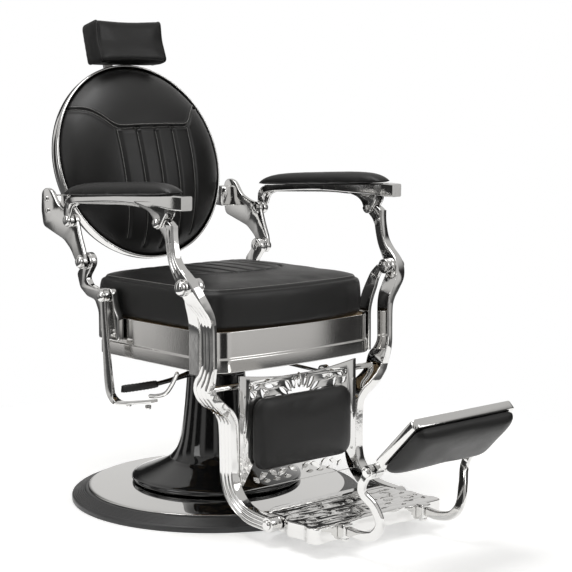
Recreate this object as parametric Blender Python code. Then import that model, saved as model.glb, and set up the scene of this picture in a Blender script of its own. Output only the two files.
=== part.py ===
"""Hydraulic barber chair, modelled piece by piece.

The front faces -Y, the sitter's right is -X and +Z is up. The origin is the middle of the
base's underside, on the floor. Sizes are in metres.
"""

import math

import bmesh
import bpy
from mathutils import Matrix, Vector

# ---- Driving dimensions ----
GAP = 0.0003
SIDES = (("right", -1), ("left", 1))

BASE_RADIUS = 0.350
PLATE_RADIUS = 0.3105
BELL_RADIUS = 0.202
COLUMN_TOP = 0.300
RAM_RADIUS = 0.0278

SEAT_HALF_WIDTH = 0.249
SEAT_FRONT = -0.305
SEAT_REAR = 0.135
APRON_BOTTOM = 0.362
APRON_TOP = 0.452
CUSHION_TOP = 0.546

# Pivots of the reclining linkage, as (y, z). Each runs along X on both sides of the seat.
BACK_PIVOT = (0.147, 0.577)
ARM_REAR_PIVOT = (0.175, 0.673)
ARM_FRONT_PIVOT = (-0.206, 0.693)
KNEE_PIVOT = (-0.287, 0.560)
FLIP_PIVOT = (-0.684, 0.204)
LEVER_PIVOT = (0.064, 0.504)
PUMP_PIVOT = (-0.088, 0.318)
ARM_PIN_SLACK = 0.0022

BACK_CENTRE = Vector((0, 0.280, 0.802))
BACK_TILT = math.radians(15.1)
BACK_RADIUS = 0.238
HEADREST_AXIS = (-0.085, 0.300)

BOARD_TILT = math.radians(45)
CROSSBAR = (-0.274, 0.325)
CROSSBAR_HALF = 0.2580
CALF_PLANE = -0.3000
FOOT_BOTTOM = 0.030
FOOT_TOP = 0.0645

# ---- Colours: name, base colour, roughness, metallic ----
LOOKS = {
    "chrome": ((0.82, 0.82, 0.82), 0.08, 1.0),
    "brushed_steel": ((0.58, 0.58, 0.57), 0.28, 1.0),
    "black_enamel": ((0.012, 0.012, 0.013), 0.08, 0.0),
    "black_rubber": ((0.030, 0.030, 0.030), 0.55, 0.0),
    "black_leather": ((0.022, 0.022, 0.023), 0.42, 0.0),
    "plywood": ((0.50, 0.36, 0.20), 0.60, 0.0),
}


def make_look(name):
    colour, roughness, metallic = LOOKS[name]
    look = bpy.data.materials.new(name)
    look.use_nodes = True
    shader = look.node_tree.nodes["Principled BSDF"]
    shader.inputs["Base Color"].default_value = (*colour, 1)
    shader.inputs["Roughness"].default_value = roughness
    shader.inputs["Metallic"].default_value = metallic
    return look


for thing in list(bpy.data.objects):
    bpy.data.objects.remove(thing)
for look_name in LOOKS:
    make_look(look_name)


# ---- Moving bodies: an empty on each joint's axis ----
def joint_empty(name, place, parent=None):
    empty = bpy.data.objects.new(name, None)
    bpy.context.scene.collection.objects.link(empty)
    empty.empty_display_size = 0.05
    empty.location = place
    if parent:
        empty.parent = parent
        empty.location = Vector(place) - world_place(parent)
    return empty


def world_place(empty):
    place = Vector(empty.location)
    while empty.parent:
        empty = empty.parent
        place += empty.location
    return place


def back_point(x, up, front):
    """A point of the backrest: up along the disc, and front out of its face."""
    along = Vector((0, math.sin(BACK_TILT), math.cos(BACK_TILT)))
    out = Vector((0, -math.cos(BACK_TILT), math.sin(BACK_TILT)))
    return BACK_CENTRE + Vector((x, 0, 0)) + up * along + front * out


BASE = joint_empty("base_origin", (0, 0, 0))
LIFT = joint_empty("lift_axis", (0, 0, COLUMN_TOP), BASE)
SEAT = joint_empty("swivel_axis", (0, 0, 0.3244), LIFT)
BACK = joint_empty("back_axis", (0, *BACK_PIVOT), SEAT)
KNOB = joint_empty("knob_axis", back_point(0, 0.105, -0.115), BACK)
HEAD = joint_empty("headrest_slide", back_point(0, 0.105, HEADREST_AXIS[0]), BACK)
PILLOW = joint_empty("headrest_tilt", back_point(0, HEADREST_AXIS[1], HEADREST_AXIS[0]), HEAD)
LEGREST = joint_empty("knee_axis", (0, *KNEE_PIVOT), SEAT)
FLIP = joint_empty("flip_axis", (0, *FLIP_PIVOT), LEGREST)
PUMP = joint_empty("pump_axis", (PUMP_PIVOT[0], -0.040, PUMP_PIVOT[1]), SEAT)
LEVER = joint_empty("recline_axis", (-0.28, *LEVER_PIVOT), SEAT)
STRUT = joint_empty("strut_axis", (0.100, 0.100, 0.335), SEAT)
STRUT_ROD = joint_empty("strut_rod_axis", (0.100, -0.130, 0.329), STRUT)
ARMS = {side: joint_empty("arm_axis_" + side, (sign * 0.298, *ARM_REAR_PIVOT), BACK)
        for side, sign in SIDES}


# ---- Shape helpers ----
def piece(name, bm, look, body, sharp=35):
    """Closes a mesh, gives it its look, and hangs it on its body's empty."""
    bmesh.ops.remove_doubles(bm, verts=bm.verts, dist=1e-5)
    bmesh.ops.recalc_face_normals(bm, faces=bm.faces)
    mesh = bpy.data.meshes.new(name)
    bm.to_mesh(mesh)
    bm.free()
    mesh.transform(Matrix.Translation(-world_place(body)))
    mesh.shade_smooth()
    mesh.set_sharp_from_angle(angle=math.radians(sharp))
    mesh.materials.append(bpy.data.materials[look])
    obj = bpy.data.objects.new(name, mesh)
    bpy.context.scene.collection.objects.link(obj)
    obj.parent = body
    return obj


def turned_mesh(profile, steps=48, ring=False, frame=None):
    """A profile of (radius, height) turned about +Z, then placed by a frame."""
    bm = bmesh.new()
    points = [bm.verts.new((radius, 0, height)) for radius, height in profile]
    pairs = list(zip(points, points[1:]))
    if ring:
        pairs.append((points[-1], points[0]))
    edges = [bm.edges.new(pair) for pair in pairs]
    bmesh.ops.spin(bm, geom=points + edges, cent=(0, 0, 0), axis=(0, 0, 1),
                   angle=math.tau, steps=steps, use_duplicate=False)
    bmesh.ops.remove_doubles(bm, verts=bm.verts, dist=1e-5)
    if frame:
        bm.transform(frame)
    return bm


def extruded_mesh(outline, low, high, axis="X"):
    """A flat outline given thickness: (y, z) points along X, (x, z) along Y, (x, y) along Z."""
    place = {"X": lambda a, b, c: (c, a, b), "Y": lambda a, b, c: (a, c, b),
             "Z": lambda a, b, c: (a, b, c)}[axis]
    bm = bmesh.new()
    ends = [[bm.verts.new(place(a, b, level)) for a, b in outline] for level in (low, high)]
    bm.faces.new(ends[0])
    bm.faces.new(ends[1])
    count = len(outline)
    for i in range(count):
        j = (i + 1) % count
        bm.faces.new((ends[0][i], ends[0][j], ends[1][j], ends[1][i]))
    return bm


def skinned_mesh(rows, closed_path=False):
    """Rows of points, each a closed loop, joined one to the next and capped."""
    bm = bmesh.new()
    loops = [[bm.verts.new(point) for point in row] for row in rows]
    pairs = list(zip(loops, loops[1:]))
    if closed_path:
        pairs.append((loops[-1], loops[0]))
    else:
        bm.faces.new(loops[0])
        bm.faces.new(loops[-1])
    for first, second in pairs:
        for i in range(len(first)):
            j = (i + 1) % len(first)
            bm.faces.new((first[i], first[j], second[j], second[i]))
    return bm


def smooth_path(points, steps):
    """Stations on a smooth curve through the points, whatever numbers each point holds."""
    ends = [points[0]] + list(points) + [points[-1]]
    path = []
    for before, start, end, after in zip(ends, ends[1:], ends[2:], ends[3:]):
        for step in range(steps):
            t = step / steps
            path.append(tuple(
                0.5 * (2 * b + (c - a) * t + (2 * a - 5 * b + 4 * c - d) * t * t
                       + (3 * b - a - 3 * c + d) * t ** 3)
                for a, b, c, d in zip(before, start, end, after)))
    path.append(tuple(points[-1]))
    return path


def swept_rows(stations, chamfer=0.25):
    """Stations of (x, y, z, width, depth): a chamfered bar, its width nearest to X."""
    rows = []
    places = [Vector(station[:3]) for station in stations]
    for i, station in enumerate(stations):
        run = (places[min(i + 1, len(places) - 1)] - places[max(i - 1, 0)]).normalized()
        across = (Vector((1, 0, 0)) - run * run.x).normalized()
        deep = run.cross(across)
        half_width, half_depth = station[3] / 2, station[4] / 2
        cut = 2 * chamfer * min(half_width, half_depth)
        corners = []
        for a, b in ((1, 1), (-1, 1), (-1, -1), (1, -1)):
            first = (a * half_width, b * (half_depth - cut))
            second = (a * (half_width - cut), b * half_depth)
            corners += [first, second] if a * b > 0 else [second, first]
        rows.append([places[i] + u * across + v * deep for u, v in corners])
    return rows


def tube_rows(points, radius, sides=10):
    rows = []
    places = [Vector(point) for point in points]
    for i, place in enumerate(places):
        run = (places[min(i + 1, len(places) - 1)] - places[max(i - 1, 0)]).normalized()
        across = run.orthogonal().normalized()
        if abs(run.x) < 0.95:
            across = (Vector((1, 0, 0)) - run * run.x).normalized()
        deep = run.cross(across)
        rows.append([place + radius * (math.cos(turn) * across + math.sin(turn) * deep)
                     for turn in (math.tau * k / sides for k in range(sides))])
    return rows


def arc(centre, radius, start, end, steps=8):
    """Points of an arc, with its angles in degrees."""
    return [(centre[0] + radius * math.cos(math.radians(start + (end - start) * k / steps)),
             centre[1] + radius * math.sin(math.radians(start + (end - start) * k / steps)))
            for k in range(steps + 1)]


def box_mesh(low, high):
    return extruded_mesh([(low[0], low[1]), (high[0], low[1]), (high[0], high[1]),
                          (low[0], high[1])], low[2], high[2], "Z")


def helper(name, bm, body):
    """A cutter or a shape to be joined, which isn't a piece itself."""
    obj = piece(name, bm, "chrome", body)
    obj.hide_render = True
    obj.display_type = "WIRE"
    return obj


def boolean(obj, other, operation):
    modifier = obj.modifiers.new(other.name, "BOOLEAN")
    modifier.operation = operation
    modifier.solver = "EXACT"
    modifier.object = other


def join(obj, bm, label):
    boolean(obj, helper(obj.name + "_" + label, bm, obj.parent), "UNION")


def cut(obj, bm, label):
    boolean(obj, helper(obj.name + "_" + label, bm, obj.parent), "DIFFERENCE")


def along_x(x=0, y=0, z=0):
    """A frame whose own +Z points along +X."""
    return Matrix.Translation((x, y, z)) @ Matrix.Rotation(math.pi / 2, 4, "Y")


def rod_mesh(place, radius, low, high, steps=16):
    """A plain round bar along X at a (y, z) place."""
    profile = [(0, low), (radius, low), (radius, high), (0, high)]
    return turned_mesh(profile, steps, frame=along_x(0, *place))


def bore(obj, place, radius, low, high):
    cut(obj, rod_mesh(place, radius, low, high), "bore_%d" % len(obj.modifiers))


def mirrored(low, high, sign):
    """Two X values for one side of the chair, lower one first."""
    return (low, high) if sign > 0 else (-high, -low)


def domed_pin(name, sign, place, inner, outer, radius, cap, body):
    """A hinge pin: a nut on its inner end and a domed cap outside, along X."""
    nut = cap * 0.70
    profile = [(0, inner - 0.006), (nut, inner - 0.006), (nut, inner - GAP),
               (radius, inner - GAP), (radius, outer + GAP), (cap, outer + GAP),
               (cap, outer + 0.003), (cap * 0.70, outer + 0.0075), (0, outer + 0.0095)]
    bm = turned_mesh(profile, 16, frame=along_x())
    bm.transform(Matrix.Translation((0, *place)) @ Matrix.Scale(sign, 4, (1, 0, 0)))
    return piece(name, bm, "chrome", body)


# ---- Base: floor ring, dished plate, bell, column and pump cylinder ----
piece("base_floor_ring", turned_mesh([
    (0.290, 0), (BASE_RADIUS, 0), (BASE_RADIUS, 0.011), (0.344, 0.017), (0.331, 0.0225),
    (0.3165, 0.0275), (0.290, 0.0275)], 40, ring=True), "black_rubber", BASE)
piece("base_plate", turned_mesh([
    (0, 0), (0.2897, 0), (0.2897, 0.0278), (PLATE_RADIUS, 0.0278), (PLATE_RADIUS, 0.0300),
    (0.270, 0.0335), (0.215, 0.0395), (0.150, 0.0430), (0, 0.0430)], 40), "chrome", BASE)
piece("base_bell", turned_mesh([
    (0.1965, 0.0415), (BELL_RADIUS, 0.0470), (0.2000, 0.0545), (0.190, 0.0600),
    (0.150, 0.0760), (0.122, 0.0890), (0.114, 0.0950), (0.109, 0.0950), (0.147, 0.0710),
    (0.186, 0.0560), (0.1925, 0.0500), (0.1925, 0.0415)], 36, ring=True), "black_enamel", BASE)
COLUMN = [(0.1125, 0.0955), (0.0985, 0.114), (0.089, 0.140), (0.083, 0.175), (0.0755, 0.235),
          (0.070, COLUMN_TOP)]
piece("column_cover", turned_mesh(
    COLUMN + [(radius - 0.0045, height) for radius, height in reversed(COLUMN)],
    28, ring=True), "black_enamel", BASE)
piece("pump_cylinder", turned_mesh([
    (0.0285, 0.0435), (0.048, 0.0435), (0.048, 0.288), (0.0285, 0.288)],
    24, ring=True), "brushed_steel", BASE)
piece("cylinder_gland", turned_mesh([
    (RAM_RADIUS + 0.0005, 0.2885), (0.0640, 0.2885), (0.0640, 0.3005), (0.0700, 0.3005),
    (0.0700, 0.3055), (RAM_RADIUS + 0.0005, 0.3055)], 24, ring=True), "black_enamel", BASE)

# ---- Lift: the ram and its swivel bearing ----
piece("lift_ram", turned_mesh([
    (0, 0.100), (RAM_RADIUS, 0.100), (RAM_RADIUS, 0.308), (0.050, 0.308), (0.050, 0.3165),
    (0.018, 0.3165), (0.018, 0.350), (0, 0.350)], 24), "chrome", LIFT)
piece("swivel_bearing", turned_mesh([
    (0.0184, 0.3168), (0.048, 0.3168), (0.048, 0.3242), (0.0184, 0.3242)],
    24, ring=True), "brushed_steel", LIFT)

# ---- Seat structure ----
piece("seat_hub", turned_mesh([
    (0.0184, 0.3246), (0.064, 0.3246), (0.064, 0.335), (0.078, 0.345), (0.078, 0.3592),
    (0.0184, 0.3592)], 24, ring=True), "black_enamel", SEAT)

FRAME_LOW, FRAME_HIGH = 0.3596, 0.378
RAIL_INNER, RAIL_OUTER = 0.085, 0.120
under_frame = piece("under_frame", box_mesh((-0.090, -0.110, FRAME_LOW), (0.090, 0.100, FRAME_HIGH)),
                    "black_enamel", SEAT)
for side, sign in SIDES:
    low, high = mirrored(RAIL_INNER, RAIL_OUTER, sign)
    join(under_frame, box_mesh((low, SEAT_FRONT + 0.009, FRAME_LOW + 0.001),
                               (high, SEAT_REAR - 0.004, FRAME_HIGH - 0.001)), "rail_" + side)
    for end, place in (("front", -0.200), ("rear", 0.070)):
        join(under_frame, box_mesh((low + 0.004, place - 0.014, FRAME_LOW + 0.004),
                                   (high - 0.004, place + 0.014, 0.4294)), end + "_post_" + side)
for end, place in (("front", -0.200), ("rear", 0.070)):
    join(under_frame, box_mesh((0.006 - 0.2505, place - 0.016, FRAME_LOW + 0.002),
                               (0.2505 - 0.006, place + 0.016, FRAME_HIGH - 0.002)), end + "_cross")
join(under_frame, box_mesh((0.1118, 0.090, 0.324), (0.1168, 0.110, FRAME_LOW + 0.006)), "strut_tab")
for end, place in (("near", -0.0605), ("far", -0.0245)):
    join(under_frame, box_mesh((PUMP_PIVOT[0] - 0.010, place, 0.304),
                               (PUMP_PIVOT[0] + 0.008, place + 0.005, FRAME_LOW + 0.006)),
         end + "_pump_tab")
PUMP_FRAME = Matrix.Translation((PUMP_PIVOT[0], -0.040, PUMP_PIVOT[1])) @ Matrix.Rotation(
    -math.pi / 2, 4, "X")
cut(under_frame, turned_mesh([(0, -0.030), (0.0056, -0.030), (0.0056, 0.030), (0, 0.030)],
                             20, frame=PUMP_FRAME), "pump_pin_hole")


def seat_outline(inset=0.0, front_radius=0.060, rear_radius=0.030, bow=0.010):
    """The seat's plan: round front and rear corners and a slightly bowed front."""
    half = SEAT_HALF_WIDTH - inset
    front, rear = SEAT_FRONT + inset, SEAT_REAR - inset
    points = arc((half - front_radius, front + bow + front_radius), front_radius, 0, -90, 6)
    points += [(half * part, front + bow * part * part) for part in (0.4, 0, -0.4)]
    points += arc((front_radius - half, front + bow + front_radius), front_radius, -90, -180, 6)
    points += arc((rear_radius - half, rear - rear_radius), rear_radius, 180, 90, 4)
    points += arc((half - rear_radius, rear - rear_radius), rear_radius, 90, 0, 4)
    return points


def banded_mesh(outline, section):
    """A section of (offset outwards, height) carried round a plan outline."""
    rows = []
    count = len(outline)
    for i in range(count):
        ahead, behind = Vector(outline[(i + 1) % count]), Vector(outline[i - 1])
        run = (ahead - behind).normalized()
        out = Vector((-run.y, run.x))
        if out.dot(Vector(outline[i]) - Vector((0, -0.08))) < 0:
            out = -out
        rows.append([(outline[i][0] + out.x * offset, outline[i][1] + out.y * offset, height)
                     for offset, height in section])
    return skinned_mesh(rows, closed_path=True)


piece("seat_apron", banded_mesh(seat_outline(), [
    (0, APRON_TOP), (0, 0.393), (0.0042, 0.389), (0.0042, APRON_BOTTOM), (-0.003, APRON_BOTTOM),
    (-0.003, APRON_TOP)]), "brushed_steel", SEAT)
piece("seat_board", extruded_mesh(seat_outline(0.006, 0.055, 0.025), 0.4297, 0.4517, "Z"),
      "plywood", SEAT)

CUSHION_REAR = 0.180


def cushion_outline(inset):
    """The cushion runs further back than the apron, under the foot of the backrest."""
    half = 0.2455 - inset
    front, rear = SEAT_FRONT + inset, CUSHION_REAR - inset
    points = arc((half - 0.055, front + 0.075), 0.055, 0, -78, 5)
    points += [(half * part, front + 0.016 * part * part) for part in (0.45, 0, -0.45)]
    points += arc((0.055 - half, front + 0.075), 0.055, -102, -180, 5)
    points += arc((0.045 - half, rear - 0.045), 0.045, 180, 90, 4)
    points += arc((half - 0.045, rear - 0.045), 0.045, 90, 0, 4)
    return points


piece("seat_cushion", skinned_mesh([
    [(x, y, height) for x, y in cushion_outline(inset)] for inset, height in (
        (0.012, APRON_TOP + 0.001), (0.001, 0.465), (0, 0.500), (0.003, 0.527), (0.012, 0.539),
        (0.035, CUSHION_TOP), (0.110, 0.550))]), "black_leather", SEAT)

# Knee lugs and back lugs stand out of the apron's sides.
LUG_INNER = SEAT_HALF_WIDTH + 0.0045 + GAP
KNEE_INNER, KNEE_OUTER = 0.2800, 0.2913
for side, sign in SIDES:
    path = smooth_path([
        (0.2594, -0.2460, 0.3590, 0.0100, 0.036), (0.2594, -0.2460, 0.4100, 0.0100, 0.036),
        (0.2594, -0.2465, 0.4550, 0.0100, 0.036), (0.2645, -0.2490, 0.4850, 0.0105, 0.036),
        (0.2745, -0.2520, 0.5120, 0.0105, 0.034), (0.2825, -0.2560, 0.5350, 0.0100, 0.028),
        (0.2850, -0.2710, 0.5560, 0.0100, 0.020)], 2)
    path = [(sign * x, y, z, width, depth) for x, y, z, width, depth in path]
    lug = piece("knee_lug_" + side, skinned_mesh(swept_rows(path)), "chrome", SEAT)
    join(lug, rod_mesh(KNEE_PIVOT, 0.0175, *mirrored(KNEE_INNER, KNEE_OUTER, sign), 24), "head")
    bore(lug, KNEE_PIVOT, 0.0073, -0.4, 0.4)
    lug = piece("back_lug_" + side, extruded_mesh(
        [(0.026, 0.400), (0.104, 0.400), (0.104, 0.462), (0.118, 0.488), (0.150, 0.494),
         (0.178, 0.512), (0.190, 0.545)] + arc(BACK_PIVOT, 0.021, -20, 215, 10)
        + [(0.152, 0.538), (0.140, 0.522), (0.108, 0.515), (0.080, 0.520)]
        + arc(LEVER_PIVOT, 0.017, 75, 180, 5) + [(0.040, 0.475), (0.026, 0.455)],
        *mirrored(LUG_INNER, 0.2700, sign)), "chrome", SEAT)
    bore(lug, BACK_PIVOT, 0.0063, -0.4, 0.4)
    domed_pin("knee_pin_" + side, sign, KNEE_PIVOT, KNEE_INNER, 0.3305, 0.0068, 0.0155, SEAT)
    domed_pin("back_pin_" + side, sign, BACK_PIVOT, LUG_INNER, 0.2900, 0.0058, 0.0130, SEAT)

# ---- Backrest: dished shell, board, cushion, rear panel, brackets, headrest socket ----
BACK_FRAME = Matrix.Translation(BACK_CENTRE) @ Matrix.Rotation(math.pi / 2 - BACK_TILT, 4, "X")
piece("back_shell", turned_mesh([
    (0, -0.064), (0.150, -0.062), (0.228, -0.055), (0.243, -0.042), (0.2475, -0.022),
    (0.246, -0.011), (0.2415, -0.011), (0.2415, -0.024), (0.2385, -0.039), (0.226, -0.0505),
    (0.150, -0.057), (0, -0.059)], 40, frame=BACK_FRAME), "chrome", BACK)
piece("back_board", turned_mesh([
    (0, -0.048), (0.222, -0.048), (0.230, -0.044), (0.230, -0.0365), (0, -0.0365)],
    28, frame=BACK_FRAME), "plywood", BACK)
piece("back_cushion", turned_mesh([
    (0, -0.036), (0.230, -0.036), (0.2365, -0.030), (BACK_RADIUS, -0.018), (0.232, -0.0109),
    (0.220, 0.0004), (0.200, 0.0158), (0.170, 0.0337), (0.130, 0.0501), (0.080, 0.0615),
    (0, 0.066)], 36, frame=BACK_FRAME), "black_leather", BACK)
piece("back_rear_panel", turned_mesh([
    (0, -0.0645), (0.150, -0.0626), (0.187, -0.0600), (0.190, -0.0625), (0.180, -0.0680),
    (0, -0.0708)], 36, frame=BACK_FRAME),
    "black_leather", BACK)

BRACKET_INNER, BRACKET_OUTER = 0.2785, 0.2895
for side, sign in SIDES:
    bracket = piece("back_bracket_" + side, extruded_mesh(
        arc(BACK_PIVOT, 0.0165, 200, 325, 7) + [(0.186, 0.603), (0.214, 0.625), (0.262, 0.640),
         (0.300, 0.652), (0.308, 0.690), (0.304, 0.735), (0.285, 0.745), (0.262, 0.738),
         (0.236, 0.705), (0.205, 0.692)] + arc(ARM_REAR_PIVOT, 0.0155, 70, 190, 6)
        + [(0.150, 0.640), (0.133, 0.600)],
        *mirrored(BRACKET_INNER, BRACKET_OUTER, sign)), "chrome", BACK)
    join(bracket, extruded_mesh([(0.264, 0.672), (0.298, 0.676), (0.298, 0.728), (0.268, 0.728)],
                                *mirrored(0.222, BRACKET_INNER + 0.004, sign)), "foot")
    cut(bracket, turned_mesh([(0, -0.090), (0.2480, -0.090), (0.2480, 0.060), (0, 0.060)],
                             40, frame=BACK_FRAME), "shell_clearance")
    bore(bracket, BACK_PIVOT, 0.0061, -0.4, 0.4)
    bore(bracket, ARM_REAR_PIVOT, 0.0055, -0.4, 0.4)
    domed_pin("arm_rear_pin_" + side, sign, ARM_REAR_PIVOT, BRACKET_INNER, 0.3048, 0.0052,
              0.0120, BACK)

SOCKET_BACK, SOCKET_FRONT = -0.1010, -0.0712


def back_box(low, high):
    """A box in the backrest's own directions: (x, up, front) corners."""
    rows = []
    for up in (low[1], high[1]):
        rows.append([back_point(x, up, front) for x, front in (
            (low[0], low[2]), (high[0], low[2]), (high[0], high[2]), (low[0], high[2]))])
    return skinned_mesh(rows)


socket = piece("headrest_socket", back_box((-0.030, 0.055, SOCKET_BACK), (0.030, 0.150, SOCKET_FRONT)),
               "chrome", BACK)
cut(socket, back_box((-0.0124, 0.0, HEADREST_AXIS[0] - 0.0055), (0.0124, 0.2, HEADREST_AXIS[0] + 0.0055)),
    "post_way")
piece("headrest_knob", turned_mesh([
    (0, -0.1255), (0.014, -0.1255), (0.0185, -0.1225), (0.0185, -0.1135), (0.012, -0.1105),
    (0.008, -0.1095), (0.008, -0.1016), (0, -0.1016)], 24,
    frame=BACK_FRAME @ Matrix.Translation((0, 0.105, 0))), "black_enamel", KNOB)

# ---- Headrest: ratchet post, tilting plate and cushion ----
post = piece("headrest_post", back_box((-0.0118, -0.040, HEADREST_AXIS[0] - 0.005),
                                       (0.0118, HEADREST_AXIS[1] - 0.004, HEADREST_AXIS[0] + 0.005)),
             "chrome", HEAD)
HINGE_FRAME = Matrix.Translation(back_point(0, HEADREST_AXIS[1], HEADREST_AXIS[0])) @ Matrix.Rotation(
    math.pi / 2, 4, "Y")
join(post, turned_mesh([(0, -0.0110), (0.011, -0.0110), (0.011, 0.0110), (0, 0.0110)], 16,
                       frame=HINGE_FRAME), "knuckle")
cut(post, turned_mesh([(0, -0.02), (0.0044, -0.02), (0.0044, 0.02), (0, 0.02)], 16,
                      frame=HINGE_FRAME), "hinge_hole")
plate = piece("headrest_plate", back_box((-0.055, 0.262, -0.0375), (0.055, 0.338, -0.0335)),
              "chrome", PILLOW)
for side, sign in SIDES:
    low, high = mirrored(0.0124, 0.0174, sign)
    join(plate, back_box((low, 0.288, HEADREST_AXIS[0] - 0.009), (high, 0.312, -0.0355)), "ear_" + side)
join(plate, turned_mesh([(0, -0.022), (0.0040, -0.022), (0.0040, 0.022), (0, 0.022)], 16,
                        frame=HINGE_FRAME), "hinge_pin")


def pillow_row(x, inset):
    """One cross-section of the headrest cushion, with a hollowed front."""
    front, rear = 0.038 - inset, -0.0330
    low, high = 0.2505 + inset, 0.352 - inset
    return [back_point(x, up, out) for up, out in (
        (low, rear), (low, front - 0.012), (low + 0.012, front), (0.5 * (low + high), front - 0.006),
        (high - 0.012, front + 0.002), (high, front - 0.010), (high, rear))]


piece("headrest_cushion", skinned_mesh([pillow_row(x, inset) for x, inset in (
    (-0.101, 0.005), (-0.096, 0), (-0.050, 0.001), (0, 0.002), (0.050, 0.001), (0.096, 0),
    (0.101, 0.005))]), "black_leather", PILLOW)

# ---- Armrests: cast rail with a rear leg and two front ears, and a pad ----
ARM_CENTRE_REAR, ARM_CENTRE_FRONT = 0.2990, 0.3165
TONGUE_HALF = 0.0090
EAR_GAP, EAR_WALL = TONGUE_HALF + 0.0005, 0.0048
EAR_OUTER = EAR_GAP + EAR_WALL
for side, sign in SIDES:
    path = smooth_path([
        (ARM_CENTRE_REAR, 0.176, 0.674, 0.0120, 0.024), (ARM_CENTRE_REAR, 0.176, 0.694, 0.0130, 0.024),
        (ARM_CENTRE_REAR, 0.168, 0.710, 0.0220, 0.024), (0.3000, 0.146, 0.7225, 0.0300, 0.019),
        (0.3030, 0.080, 0.7290, 0.0320, 0.016), (0.3090, -0.050, 0.7370, 0.0320, 0.017),
        (0.3140, -0.160, 0.7390, 0.0320, 0.023), (ARM_CENTRE_FRONT, -0.225, 0.7400, 0.0320, 0.028),
        (0.3170, -0.270, 0.7420, 0.0300, 0.027), (0.3170, -0.297, 0.7420, 0.0240, 0.020)], 2)
    path = [(sign * x, y, z, width, depth) for x, y, z, width, depth in path]
    casting = piece("arm_casting_" + side, skinned_mesh(swept_rows(path)), "chrome", ARMS[side])
    join(casting, rod_mesh(ARM_REAR_PIVOT, 0.0150,
                           *mirrored(ARM_CENTRE_REAR - 0.0060, ARM_CENTRE_REAR + 0.0055, sign)), "rear_eye")
    for place, (low, high) in enumerate(((EAR_GAP, EAR_OUTER), (-EAR_OUTER, -EAR_GAP))):
        join(casting, extruded_mesh(
            arc(ARM_FRONT_PIVOT, 0.0130, 200, 375, 8)
            + [(-0.1880, 0.7080), (-0.1740, 0.7180), (-0.1480, 0.7245), (-0.1200, 0.7360),
               (-0.2300, 0.7400), (-0.2270, 0.7080)],
            *mirrored(ARM_CENTRE_FRONT + low, ARM_CENTRE_FRONT + high, sign)), "ear_%d" % place)
    bore(casting, ARM_REAR_PIVOT, 0.0055, -0.4, 0.4)
    bore(casting, ARM_FRONT_PIVOT, 0.0050 + ARM_PIN_SLACK, -0.4, 0.4)

    rows = []
    for part, rise in ((0.0, 0.35), (0.04, 0.70), (0.15, 0.95), (0.5, 1.0), (0.85, 0.95),
                       (0.96, 0.70), (1.0, 0.35)):
        y = 0.168 - 0.424 * part
        centre = sign * (0.2995 + 0.0150 * part)
        base = 0.7395 + 0.0185 * min(part / 0.80, 1.0)
        wide = 0.030 * (0.72 + 0.28 * rise)
        tall = 0.024 * rise
        rows.append([(centre + a * wide, y, base + b * tall) for a, b in (
            (-0.92, 0), (0.92, 0), (1, 0.35), (0.80, 0.80), (0.35, 1), (-0.35, 1), (-0.80, 0.80),
            (-1, 0.35))])
    piece("arm_pad_" + side, skinned_mesh(rows), "black_leather", ARMS[side])

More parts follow.
